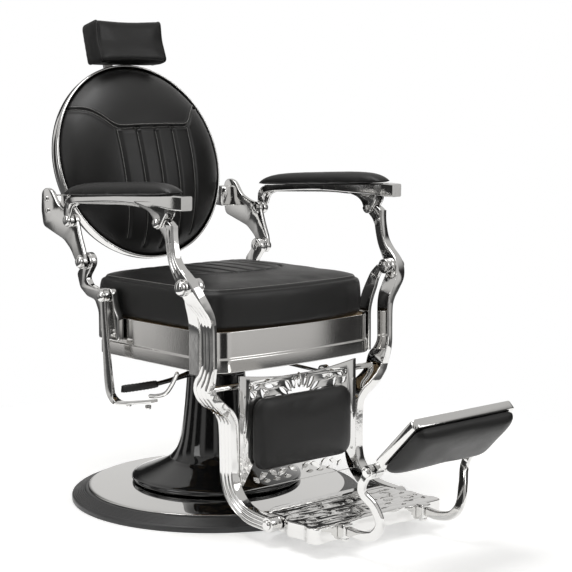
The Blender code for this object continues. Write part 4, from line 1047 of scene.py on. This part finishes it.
PILLOW_ENDS = ((0.1000, 0.0045), (0.0990, 0.0020), (0.0955, 0.0), (0.0700, 0.0), (0.0350, 0.0))
pillow_rows = [pillow_row(-x, inset) for x, inset in PILLOW_ENDS] + [
    pillow_row(0.0, 0.0)] + [pillow_row(x, inset) for x, inset in reversed(PILLOW_ENDS)]
pillow = stuffed("pillow_hide", skin(bmesh.new(), pillow_rows), 0.0045, 0.005, 3.0)
dress(pillow, black_hide, "headrest", 0.85, "headrest_cushion")
PIPE_RADIUS = 0.0020
piping = bmesh.new()
for sign in (-1, 1):
    ring = pillow_row(sign * 0.0962, 0.0014)
    middle = sum(ring, Vector()) / len(ring)
    rows = []
    for point in ring:
        out = (point - middle).normalized()
        rows.append([point + PIPE_RADIUS * (math.cos(a) * out + math.sin(a) * Vector((1, 0, 0)))
                     for a in (math.tau * k / 8 for k in range(8))])
    skin(piping, rows, closed_path=True)
finished("pillow_piping", piping, black_hide, "headrest", sharp=80)

# ---- Armrests ----
# Plated castings: a thin rail with a lipped underside, a leg down to the bracket's pin, a
# blunt nose and two curved ears round the legrest's tongue. A slim hide pad sits on top.
ARM_MID = 0.3165
rail_path = [
    (0.2990, 0.176, 0.674, 0.0120, 0.024), (0.2990, 0.176, 0.694, 0.0130, 0.024),
    (0.2990, 0.168, 0.710, 0.0220, 0.024), (0.3000, 0.146, 0.7225, 0.0300, 0.019),
    (0.3030, 0.080, 0.7290, 0.0320, 0.016), (0.3090, -0.050, 0.7370, 0.0320, 0.017),
    (0.3140, -0.160, 0.7390, 0.0320, 0.023), (ARM_MID, -0.225, 0.7400, 0.0320, 0.028),
    (0.3170, -0.262, 0.7395, 0.0320, 0.032), (0.3170, -0.2930, 0.7390, 0.0300, 0.0310)]


def swell(level):
    """A pad's outline height: full above, nearly flat below."""
    return level ** 0.85 if level > 0 else max(level, -0.12)


for side_name, sign in SIDES:
    rail = swept(bmesh.new(), sided(rail_path, 10, sign), 0.0042, sign)
    boss(rail, ARM_REAR, 0.0152, *both(0.2930, 0.3045, sign), 0.0018)
    for low, high in ((0.0095, 0.0150), (-0.0143, -0.0095)):
        plate(rail, fillet(
            arc(ARM_FRONT, 0.0130, 200, 375, 20)
            + [(-0.1880, 0.7080), (-0.1740, 0.7180), (-0.1480, 0.7245), (-0.1200, 0.7360),
               (-0.2400, 0.7400), (-0.2360, 0.7120)], 0.008, 5, True),
            *both(ARM_MID + low, ARM_MID + high, sign), "X", 0.0018, 3)
    plate(rail, fillet([(0.186, 0.700), (0.186, 0.684), (0.166, 0.672), (0.156, 0.690),
                        (0.148, 0.708), (0.120, 0.718), (0.100, 0.732), (0.172, 0.732)],
                       0.010, 5, True), *both(0.3015, 0.3080, sign), "X", 0.0018, 3)
    swept(rail, sided([
        (0.3060, 0.110, 0.7190, 0.0240, 0.004), (0.3090, 0.020, 0.7235, 0.0250, 0.005),
        (0.3130, -0.080, 0.7275, 0.0250, 0.005), (0.3160, -0.140, 0.7260, 0.0250, 0.004)],
        8, sign), 0.0015, sign)
    finished("arm_rail_" + side_name, rail, cast_chrome, "arm_" + side_name,
             "arm_casting_" + side_name)
    rows = []
    for k in range(41):
        part = k / 40
        rise = max(0.04, 1 - abs(2 * part - 1) ** 5) ** 0.5
        centre = sign * (0.2995 + 0.0150 * part)
        base = 0.7335 + 0.0215 * min(part / 0.92, 1.0)
        wide, tall = 0.0295 * (0.62 + 0.38 * rise), 0.0235 * rise
        rows.append([(centre + wide * math.cos(a), 0.168 - 0.424 * part,
                      base + 0.0030 + tall * swell(math.sin(a)))
                     for a in (math.tau * j / 28 for j in range(28))])
    rest = stuffed("arm_hide_" + side_name, skin(bmesh.new(), rows), 0.004, 0.002, 1.5)
    dress(rest, black_hide, "arm_" + side_name, 0.85, "arm_pad_" + side_name)

# ---- Legrest castings ----
# Two plated S-shaped castings, fluted down their outer sides, that hang from the knee pins.
# Their tops are tongues for the armrests and their feet hold the footplate's rod.
FOOT = (-0.425, 0.048)
leg_path = [
    (0.3165, -0.2400, 0.6900, 0.0180, 0.026), (0.3165, -0.2400, 0.6600, 0.0180, 0.028),
    (0.3170, -0.2490, 0.6200, 0.0190, 0.028), (0.3165, -0.2650, 0.5930, 0.0210, 0.032),
    (0.3130, -0.2890, 0.5650, 0.0235, 0.042), (0.3050, -0.3010, 0.5400, 0.0240, 0.046),
    (0.2900, -0.3040, 0.5180, 0.0235, 0.044), (0.2755, -0.3045, 0.4950, 0.0200, 0.042),
    (0.2690, -0.3045, 0.4700, 0.0170, 0.040), (0.2680, -0.3050, 0.4250, 0.0165, 0.039),
    (0.2680, -0.3045, 0.3850, 0.0165, 0.040), (0.2675, -0.2960, 0.3580, 0.0190, 0.046),
    (0.2660, -0.2850, 0.3380, 0.0220, 0.054), (0.2610, -0.2835, 0.3200, 0.0230, 0.054),
    (0.2480, -0.2840, 0.3030, 0.0240, 0.052), (0.2300, -0.2835, 0.2890, 0.0250, 0.050),
    (0.2100, -0.2815, 0.2740, 0.0255, 0.047), (0.1965, -0.2800, 0.2540, 0.0260, 0.045),
    (0.1925, -0.2790, 0.2250, 0.0260, 0.043), (0.1915, -0.2790, 0.1700, 0.0260, 0.0425),
    (0.1915, -0.2810, 0.1250, 0.0260, 0.042), (0.1915, -0.2930, 0.0930, 0.0260, 0.041),
    (0.1920, -0.3220, 0.0660, 0.0255, 0.038), (0.1930, -0.3600, 0.0520, 0.0250, 0.035),
    (0.1945, -0.4200, 0.0480, 0.0250, 0.032)]


def leg_flutes(height):
    """Two narrow grooves above the knee and three broad ones below it."""
    if height > 0.585:
        deep = 0.0012 * min(1, (height - 0.585) / 0.015) * min(1, max(0, 0.680 - height) / 0.01)
        return ((-0.30, deep), (0.34, deep))
    deep = 0.0026 * min(1, max(0, 0.535 - height) / 0.03)
    return ((-0.62, deep), (-0.08, deep), (0.46, deep))


for side_name, sign in SIDES:
    leg = swept(bmesh.new(), sided(leg_path, 8, sign), 0.0042, sign, leg_flutes)
    plate(leg, fillet(arc(ARM_FRONT, 0.0110, -80, 100, 16)
                      + [(-0.2340, 0.7000), (-0.2500, 0.6900), (-0.2520, 0.6500),
                         (-0.2300, 0.6500), (-0.2200, 0.6680)], 0.006, 4, True),
          *both(ARM_MID - 0.0089, ARM_MID + 0.0089, sign), "X", 0.0020, 3)
    boss(leg, KNEE, 0.0190, *both(0.2922, 0.3300, sign), 0.0025)
    boss(leg, FOOT, 0.0170, *both(0.1822, 0.2080, sign), 0.0025)
    finished("leg_cast_" + side_name, leg, cast_chrome, "legrest", "leg_casting_" + side_name)
    finished("arm_front_cap_" + side_name, domed_cap(
        bmesh.new(), sign, ARM_FRONT, ARM_MID - 0.0143, ARM_MID + 0.0150, 0.0050, 0.0100),
        mirror_chrome, "legrest", "arm_front_pin_" + side_name)

# ---- Calf panel, crossbar and calf pad ----
# A cast plate between the legs, pierced with a fan of petals over leaves at the top and a
# row of leaves at the bottom. A crossbar stiffens it, and a hide pad is screwed to it.
CALF_PLANE = -0.3000


def leaf(centre, length, width, turn, bend=0.0, steps=7):
    """A pointed leaf outline about a centre, turned by an angle in degrees."""
    points = []
    for edge in (1, -1):
        for k in range(steps):
            t = k / steps if edge > 0 else 1 - k / steps
            along = (t - 0.5) * length
            points.append((along, edge * 0.5 * width * math.sin(math.pi * t) ** 0.8
                           + bend * math.sin(math.pi * t)))
    cosine, sine = math.cos(math.radians(turn)), math.sin(math.radians(turn))
    return [(centre[0] + a * cosine - b * sine, centre[1] + a * sine + b * cosine)
            for a, b in points]


def pierced(name, outline, holes, low, high, place, edge=0.0006):
    """A flat plate with holes, from closed paths, given thickness and a soft edge."""
    curve = bpy.data.curves.new(name, "CURVE")
    curve.dimensions = "2D"
    curve.fill_mode = "BOTH"
    for path in [outline] + holes:
        spline = curve.splines.new("POLY")
        spline.points.add(len(path) - 1)
        for point, (a, b) in zip(spline.points, path):
            point.co = (a, b, 0, 1)
        spline.use_cyclic_u = True
    curve.extrude = (high - low) / 2 - edge
    curve.bevel_depth = edge
    curve.bevel_resolution = 1
    curve.offset = -edge
    obj = linked(name, curve)
    graph = bpy.context.evaluated_depsgraph_get()
    mesh = bpy.data.meshes.new_from_object(obj.evaluated_get(graph), depsgraph=graph)
    bpy.data.objects.remove(obj)
    mesh.transform(place @ Matrix.Translation((0, 0, (low + high) / 2)))
    bm = bmesh.new()
    bm.from_mesh(mesh)
    return bm


UPRIGHT = Matrix.Rotation(math.pi / 2, 4, "X")
calf_edge = [(0.178 - 0.356 * k / 24, 0.352 - 0.016 * math.sin(math.pi * k / 24))
             for k in range(25)] + [(-0.178, 0.090), (0.178, 0.090)]
calf_holes = [leaf((0.060 * math.sin(math.radians(a)), 0.2770 + 0.046 * math.cos(
    math.radians(a))), 0.034, 0.0095, 90 - a) for a in range(-72, 73, 18)]
for side in (-1, 1):
    for x, z, length, width, turn, bend in (
            (0.090, 0.318, 0.030, 0.011, 10, 0.002), (0.112, 0.305, 0.026, 0.010, 70, 0.002),
            (0.126, 0.322, 0.024, 0.009, -28, 0.002), (0.140, 0.306, 0.022, 0.009, 50, -0.002),
            (0.098, 0.333, 0.022, 0.006, -8, 0.001), (0.148, 0.326, 0.016, 0.008, 90, 0.001),
            (0.020, 0.119, 0.026, 0.010, 30, 0.002), (0.050, 0.117, 0.028, 0.011, -26, 0.002),
            (0.080, 0.119, 0.026, 0.010, 32, 0.002), (0.108, 0.116, 0.024, 0.010, -30, 0.002),
            (0.034, 0.104, 0.018, 0.007, 0, 0.001), (0.066, 0.103, 0.018, 0.007, 0, 0.001),
            (0.096, 0.103, 0.016, 0.007, 0, 0.001), (0.128, 0.110, 0.018, 0.009, 45, 0.0)):
        calf_holes.append(leaf((side * x, z), length, width, turn if side > 0 else 180 - turn,
                               bend * side))
finished("pierced_calf_plate", pierced("calf_outline", calf_edge, calf_holes, 0.2950, 0.3000,
                                       UPRIGHT), cast_chrome, "legrest", "calf_panel")
finished("stiffening_bar", boss(bmesh.new(), (-0.274, 0.325), 0.007, -0.2580, 0.2580),
         mirror_chrome, "legrest", "leg_crossbar")


def rounded_rectangle(half_width, low, high, radius, steps=8):
    """A rectangle with rounded corners, centred sideways."""
    return (arc((half_width - radius, low + radius), radius, -90, 0, steps)
            + arc((half_width - radius, high - radius), radius, 0, 90, steps)
            + arc((radius - half_width, high - radius), radius, 90, 180, steps)
            + arc((radius - half_width, low + radius), radius, 180, 270, steps))


calf_pad = stuffed("calf_hide", skin(bmesh.new(), [
    [(x, y, z) for x, z in rounded_rectangle(0.146 - inset, 0.134 + inset, 0.298 - inset, 0.030)]
    for inset, y in ((0.004, CALF_PLANE - 0.0008), (0.0005, CALF_PLANE - 0.004),
                     (0.0, CALF_PLANE - 0.014), (0.003, CALF_PLANE - 0.0205),
                     (0.011, CALF_PLANE - 0.0245), (0.035, CALF_PLANE - 0.0268),
                     (0.060, CALF_PLANE - 0.0272))]), 0.005, 0.006)
dress(calf_pad, black_hide, "legrest", 0.85, "calf_pad")

# ---- Footplate ----
# A cast tread pierced with scrolls and leaves, with a plain thick rim and a smooth tongue at
# the back. It turns on a rod through the castings' feet.
FOOT_LOW, FOOT_HIGH = 0.030, 0.0645


def foot_plan(inset=0.0):
    """The footplate's plan: lobed front corners, and narrow between the legs."""
    half = [(0.142 - inset, -0.366 - inset), (0.1785 - inset, -0.392 - inset * 0.6),
            (0.1785 - inset, -0.450), (0.192 - inset, -0.470), (0.186 - inset, -0.520),
            (0.196 - inset, -0.540), (0.190 - inset, -0.565 + inset), (0.095, -0.565 + inset),
            (0.060, -0.557 + inset)]
    return fillet(half + [(-x, y) for x, y in reversed(half)], 0.012, 5, True)


def scroll(centre, radius, start, sweep, width, steps=16):
    """A curling slot that narrows towards its inner end."""
    outer, inner = [], []
    for k in range(steps + 1):
        t = k / steps
        angle = math.radians(start + sweep * t)
        reach, thick = radius * (1 - 0.62 * t), width * (0.35 + 0.65 * math.sin(math.pi * t))
        for edge, offset in ((outer, thick / 2), (inner, -thick / 2)):
            edge.append((centre[0] + (reach + offset) * math.cos(angle),
                         centre[1] + (reach + offset) * math.sin(angle)))
    return outer + inner[::-1]


tread_holes = []
for side in (-1, 1):
    for x, y, radius, start, sweep in (
            (0.045, -0.480, 0.021, 200, 300), (0.100, -0.488, 0.021, 20, 290),
            (0.148, -0.500, 0.017, 150, 280), (0.072, -0.440, 0.015, 60, 270),
            (0.125, -0.447, 0.016, 250, 280)):
        tread_holes.append(scroll((side * x, y), radius, start if side > 0 else 180 - start,
                                  side * sweep, 0.0062))
    for x, y, length, width, turn in (
            (0.022, -0.440, 0.034, 0.012, 62), (0.015, -0.505, 0.040, 0.013, 110),
            (0.072, -0.515, 0.034, 0.011, 12), (0.125, -0.527, 0.034, 0.011, -8),
            (0.168, -0.530, 0.022, 0.010, 50), (0.074, -0.468, 0.022, 0.009, 85),
            (0.122, -0.472, 0.020, 0.008, 70), (0.160, -0.470, 0.024, 0.009, 20),
            (0.098, -0.425, 0.028, 0.010, 10), (0.150, -0.425, 0.030, 0.010, -20),
            (0.045, -0.415, 0.030, 0.009, -15), (0.040, -0.535, 0.026, 0.009, 5),
            (0.095, -0.540, 0.020, 0.008, 20), (0.172, -0.500, 0.016, 0.008, 80)):
        tread_holes.append(leaf((side * x, y), length, width, turn if side > 0 else 180 - turn))
tread = pierced("tread_outline", foot_plan(0.0015), tread_holes, FOOT_HIGH - 0.0065, FOOT_HIGH,
                Matrix.Identity(4))
rim_section = fillet([(0.0, FOOT_LOW), (0.0, FOOT_HIGH), (-0.0095, FOOT_HIGH - 0.0004),
                      (-0.0095, FOOT_LOW)], 0.0022, 3, True)
band(tread, foot_plan(), rim_section)
plate(tread, fillet([(-0.138, -0.3675), (0.138, -0.3675), (0.172, -0.392), (0.172, -0.404),
                     (-0.172, -0.404), (-0.172, -0.392)], 0.008, 4, True),
      FOOT_HIGH - 0.006, FOOT_HIGH + 0.0006, "Z", 0.0012)
for side in (-1, 1):
    boss(tread, FOOT, 0.0145, *both(0.1500, 0.1810, side), 0.0015)
finished("pierced_tread", tread, cast_chrome, "legrest", "footplate", sharp=40)


def alike_ends(half):
    """A turned profile that is the same at both ends, from one end's."""
    return [(radius, -along) for radius, along in half] + half[::-1]


finished("foot_rod", lathe(bmesh.new(), fillet(alike_ends(
    [(0, 0.2150), (0.008, 0.2150), (0.011, 0.2125), (0.011, 0.2085), (0.006, 0.2085)]),
    0.0012, 3), 48, across(0, *FOOT)), mirror_chrome, "legrest", "footplate_rod")

# ---- Flip-over arms, their clamps and shaft ----
# Bright blocks bolted to the footplate's front hold two S-shaped bars. A shaft joins the
# bars' tops, and the flip-over board turns on it.
FLIP = (-0.684, 0.204)
arm_path = [
    (0.1200, -0.5882, 0.0520, 0.013, 0.021), (0.1200, -0.6250, 0.0505, 0.013, 0.021),
    (0.1205, -0.6620, 0.0600, 0.013, 0.021), (0.1230, -0.6830, 0.0880, 0.013, 0.021),
    (0.1360, -0.6780, 0.1270, 0.013, 0.021), (0.1540, -0.6640, 0.1550, 0.013, 0.020),
    (0.1590, -0.6660, 0.1750, 0.012, 0.020), (0.1580, -0.6780, 0.1960, 0.011, 0.020)]
for side_name, sign in SIDES:
    low, high = both(0.1070, 0.1330, sign)
    block = plate(bmesh.new(), fillet([(-0.5870, 0.0365), (-0.5653, 0.0365), (-0.5653, 0.0680),
                                       (-0.5870, 0.0680)], 0.004, 3, True), low, high, "X",
                  0.0022, 3)
    lathe(block, fillet([(0, 0.0295), (0.0085, 0.0295), (0.0095, 0.0310), (0.0095, 0.0366),
                         (0, 0.0366)], 0.001, 2), 40,
          Matrix.Translation((sign * 0.120, -0.576, 0)))
    finished("arm_clamp_" + side_name, block, cast_chrome, "legrest", "flip_clamp_" + side_name)
    bar = swept(bmesh.new(), sided(arm_path, 10, sign), 0.0040, sign)
    boss(bar, FLIP, 0.0155, *both(0.1520, 0.1635, sign), 0.0018)
    finished("flip_bar_" + side_name, bar, cast_chrome, "legrest", "flip_arm_" + side_name)
finished("flip_rod", lathe(bmesh.new(), fillet(alike_ends(
    [(0, 0.1700), (0.007, 0.1700), (0.010, 0.1680), (0.010, 0.1640), (0.006, 0.1640)]),
    0.0012, 3), 48, across(0, *FLIP)), mirror_chrome, "legrest", "flip_shaft")

# ---- Flip-over board ----
# A plated tray with eyes at its hinge side, filled by a crowned hide pad that ends up on
# top when the board is turned over for the sitter's feet.
TRAY_HALF = 0.0105
BOARD_TILT = math.radians(45)
BOARD_OUT = Vector((0, -math.cos(BOARD_TILT), math.sin(BOARD_TILT)))
BOARD_FACE = Vector((0, -math.sin(BOARD_TILT), -math.cos(BOARD_TILT)))


def board_point(x, out, proud):
    """A point of the board: out from its hinge, and proud of its padded side."""
    return Vector((x, *FLIP)) + out * BOARD_OUT + proud * BOARD_FACE


tray = skin(bmesh.new(), [[board_point(x, out, proud) for x, out in rounded_rectangle(
    0.1505 - inset, 0.020 + inset, 0.169 - inset, 0.010)]
    for inset, proud in ((0.003, -TRAY_HALF), (0.0008, -TRAY_HALF + 0.0008),
                         (0, -TRAY_HALF + 0.003), (0, TRAY_HALF - 0.003),
                         (0.0008, TRAY_HALF - 0.0008), (0.003, TRAY_HALF))])
for side in (-1, 1):
    low, high = both(0.1280, 0.1500, side)
    boss(tray, FLIP, 0.0150, low, high, 0.0018)
    skin(tray, [[board_point(x, out, proud) for x, out in (
        (low, 0), (high, 0), (high, 0.030), (low, 0.030))] for proud in (-0.0085, 0.0085)])
finished("flip_board_tray", tray, cast_chrome, "flip_board", "flip_tray")
flip_pad = stuffed("flip_hide", skin(bmesh.new(), [
    [board_point(x, out, proud) for x, out in rounded_rectangle(
        0.1465 - inset, 0.0245 + inset, 0.1655 - inset, 0.016)]
    for inset, proud in ((0.003, TRAY_HALF + 0.0008), (0.0, 0.0150), (0.0015, 0.0230),
                         (0.0080, 0.0310), (0.0220, 0.0355), (0.0500, 0.0370))]),
    0.0045, 0.005)
dress(flip_pad, black_hide, "flip_board", 0.85, "flip_pad")

# ---- Pump lever ----
# A forged black shaft on a pin under the seat, with a thick ribbed rubber grip pushed over
# its flattened end.
PUMP = (-0.088, -0.040, 0.318)
pump_place = Matrix.Translation(PUMP) @ Matrix.Rotation(-math.pi / 2, 4, "X")
shaft = lathe(bmesh.new(), fillet(alike_ends(
    [(0, 0.0230), (0.0052, 0.0230), (0.0052, 0.0150), (0.0135, 0.0150)]), 0.001, 2), 48,
    pump_place)
swept(shaft, smooth_path([
    (-0.0960, -0.0400, 0.3175, 0.018, 0.014), (-0.1250, -0.0380, 0.3130, 0.015, 0.011),
    (-0.1550, -0.0260, 0.3040, 0.014, 0.010), (-0.1840, -0.0100, 0.2960, 0.014, 0.010)], 8),
    0.004)
finished("forged_pump_shaft", shaft, gloss_enamel, "pump_lever", "pump_lever")
grip_rubber = surface("grip_rubber", (0.022, 0.022, 0.022), 0.42, vary=0.05, tone=0.2,
                      relief=0.0001, fine=500, relief_from="Fine")
grip_path = smooth_path([
    (-0.1845, -0.0097, 0.2959, 0.0200, 0.0120), (-0.1900, -0.0060, 0.2948, 0.0260, 0.0170),
    (-0.2200, 0.0130, 0.2900, 0.0280, 0.0180), (-0.2500, 0.0330, 0.2860, 0.0280, 0.0180),
    (-0.2550, 0.0365, 0.2855, 0.0200, 0.0110)], 12)
grip = swept(bmesh.new(), [(x, y, z, w + 0.0012 * math.cos(2.4 * i), d + 0.0010 * math.cos(2.4 * i))
                           for i, (x, y, z, w, d) in enumerate(grip_path)], 0.007)
finished("pump_grip_rubber", grip, grip_rubber, "pump_lever", "pump_grip", sharp=60)

# ---- Recline lever ----
# A flat plated bar hangs from a stud on the near back lug and turns under to a foot. A bent
# plated rod, held by two bolts, runs from the foot up to the lock.
bar = swept(bmesh.new(), smooth_path([
    (-0.2825, 0.0640, 0.5040, 0.0080, 0.020), (-0.2825, 0.0620, 0.4600, 0.0080, 0.020),
    (-0.2830, 0.0540, 0.3800, 0.0075, 0.024), (-0.2835, 0.0440, 0.3000, 0.0075, 0.030),
    (-0.2830, 0.0340, 0.2720, 0.0120, 0.020), (-0.2780, 0.0140, 0.2600, 0.0240, 0.008),
    (-0.2640, -0.0300, 0.2650, 0.0260, 0.007), (-0.2510, -0.0850, 0.2750, 0.0240, 0.007)], 10),
    0.0024)
boss(bar, LEVER, 0.0150, -0.2865, -0.2742, 0.0015)
for place in ((-0.2700, -0.0120), (-0.2560, -0.0680)):
    lathe(bar, fillet([(0, 0.2545), (0.0062, 0.2545), (0.0070, 0.2560), (0.0070, 0.2640),
                       (0, 0.2640)], 0.001, 2), 32, Matrix.Translation((*place, 0.0)))
finished("recline_bar", bar, cast_chrome, "recline_lever", "recline_lever")


def round_bar(bm, points, radius, sides=24):
    """Adds a round bar with domed ends along a path."""
    places = [Vector(point) for point in points]
    rows = []
    for i, (place, (run, wide, deep)) in enumerate(zip(places, bar_frames(places))):
        sizes = ((-0.7, 0.5), (-0.3, 0.88), (0, 1)) if i == 0 else (
            ((0, 1), (0.3, 0.88), (0.7, 0.5)) if i == len(places) - 1 else ((0, 1),))
        for shift, size in sizes:
            rows.append([place + run * radius * shift + radius * size * (
                math.cos(a) * wide + math.sin(a) * deep)
                for a in (math.tau * k / sides for k in range(sides))])
    return skin(bm, rows)


finished("bent_recline_rod", round_bar(bmesh.new(), smooth_path([
    (-0.2530, -0.0720, 0.2848), (-0.2525, -0.0950, 0.2880), (-0.2500, -0.1250, 0.2980),
    (-0.2470, -0.1450, 0.3200), (-0.2440, -0.1610, 0.3480)], 10), 0.0048), mirror_chrome,
    "recline_lever", "recline_rod")

# ---- Lock strut ----
# A black tube hung from the frame, and a plated rod that slides in it. The rod's slotted eye
# goes round the legrest's crossbar.
STRUT_REAR, BAR = Vector((0.100, 0.100, 0.335)), (-0.274, 0.325)
strut_run = (Vector((0.100, *BAR)) - STRUT_REAR).normalized()
strut_place = Matrix.Translation(STRUT_REAR) @ strut_run.to_track_quat(
    "Z", "X").to_matrix().to_4x4()
finished("strut_tube", lathe(bmesh.new(), fillet([
    (0, -0.012), (0.008, -0.010), (0.0105, -0.004), (0.0105, 0.226), (0.0085, 0.230),
    (0.0048, 0.230), (0.0048, 0.060), (0, 0.060)], 0.0008, 2), 48, strut_place), gloss_enamel,
    "strut_body", "strut_body")
strut_rod = lathe(bmesh.new(), [(0, 0.070), (0.0042, 0.070), (0.0042, 0.362), (0, 0.362)], 32,
                  strut_place)


def bar_slot(radius):
    """An upright slot round the crossbar, as a closed outline."""
    return (arc((BAR[0], BAR[1] + 0.004), radius, 0, 180, 16)
            + arc((BAR[0], BAR[1] - 0.004), radius, 180, 360, 16))


outer, inner = bar_slot(0.0135), bar_slot(0.0098)
skin(strut_rod, [[(x, a, b) for x, (a, b) in (
    (0.0930, out), (0.1070, out), (0.1070, hole), (0.0930, hole))]
    for out, hole in zip(outer, inner)], closed_path=True)
finished("strut_eye_rod", strut_rod, mirror_chrome, "strut_rod", "strut_rod")

# ---- Slotted screws ----
# Small plated screws hold the castings, the calf panel and the rear panel. Every one is the
# same slotted head, laid on its face at its own turn.
def screw_tree():
    """A slotted head on every point of a mesh, turned to face as the point says."""
    tree = new_tree("slotted_screws", [("Radius", "Float", 0.0035), ("Seed", "Int", 7)])
    make = tree.nodes.new
    entry, end = make("NodeGroupInput"), make("NodeGroupOutput")
    head, slot = make("GeometryNodeMeshCylinder"), make("GeometryNodeMeshCube")
    head.inputs["Vertices"].default_value = 20
    head.inputs["Radius"].default_value = 1.0
    head.inputs["Depth"].default_value = 0.5
    slot.inputs["Size"].default_value = (2.4, 0.26, 0.34)
    lift, cut = make("GeometryNodeTransform"), make("GeometryNodeMeshBoolean")
    lift.inputs["Translation"].default_value = (0, 0, 0.25)
    cut.operation = "DIFFERENCE"
    facing, aim = make("GeometryNodeInputNamedAttribute"), make("FunctionNodeAlignRotationToVector")
    facing.data_type = "FLOAT_VECTOR"
    facing.inputs["Name"].default_value = "facing"
    aim.axis = "Z"
    spin, turn = make("FunctionNodeRandomValue"), make("FunctionNodeRotateRotation")
    turn.rotation_space = "LOCAL"
    spin.data_type = "FLOAT"
    floats = [socket for socket in spin.inputs if socket.type == "VALUE" and socket.enabled]
    floats[1].default_value = math.pi
    about, lay = make("FunctionNodeAxisAngleToRotation"), make("GeometryNodeInstanceOnPoints")
    whole, colour = make("GeometryNodeRealizeInstances"), make("GeometryNodeSetMaterial")
    tree.links.new(next(socket for socket in spin.outputs if socket.enabled),
                   about.inputs["Angle"])
    wire(tree, (
        (slot, "Mesh", lift, "Geometry"), (head, "Mesh", cut, "Mesh 1"),
        (lift, "Geometry", cut, "Mesh 2"), (facing, "Attribute", aim, "Vector"),
        (entry, "Seed", spin, "Seed"), (aim, 0, turn, "Rotation"),
        (about, 0, turn, "Rotate By"), (entry, "Geometry", lay, "Points"),
        (cut, "Mesh", lay, "Instance"), (turn, 0, lay, "Rotation"),
        (entry, "Radius", lay, "Scale"), (lay, 0, whole, 0), (whole, 0, colour, "Geometry"),
        (entry, "Material", colour, "Material"), (colour, 0, end, 0)))
    return tree


SCREWS = screw_tree()


def screws(name, body, spots, radius=0.0035):
    """Screws at (place, facing) spots, as one plain mesh on one body."""
    mesh = bpy.data.meshes.new(name)
    mesh.from_pydata([tuple(place) for place, facing in spots], [], [])
    directions = mesh.attributes.new("facing", "FLOAT_VECTOR", "POINT")
    for item, (place, facing) in zip(directions.data, spots):
        item.vector = facing
    return grown(linked(name, mesh), SCREWS, {"Radius": radius, "Material": mirror_chrome}, body)


for side_name, sign in SIDES:
    out = (sign, 0, 0)
    screws("arm_screws_" + side_name, "arm_" + side_name, [
        ((sign * 0.3082, 0.163, 0.687), out), ((sign * 0.3082, 0.152, 0.716), out)], 0.0034)
screws("leg_screws", "legrest", [
    ((sign * (ARM_MID - 0.0090), -0.243, 0.668), (-sign, 0, 0)) for side_name, sign in SIDES] + [
    ((x, CALF_PLANE, z), (0, -1, 0)) for x in (-0.166, 0.166) for z in (0.140, 0.225, 0.305)],
    0.0034)
screws("panel_screws", "backrest", [
    (back_point(0.181 * math.cos(a), 0.181 * math.sin(a), -0.0680), -BACK_OUT)
    for a in (math.tau * (k + 0.5) / 8 for k in range(8))], 0.0028)
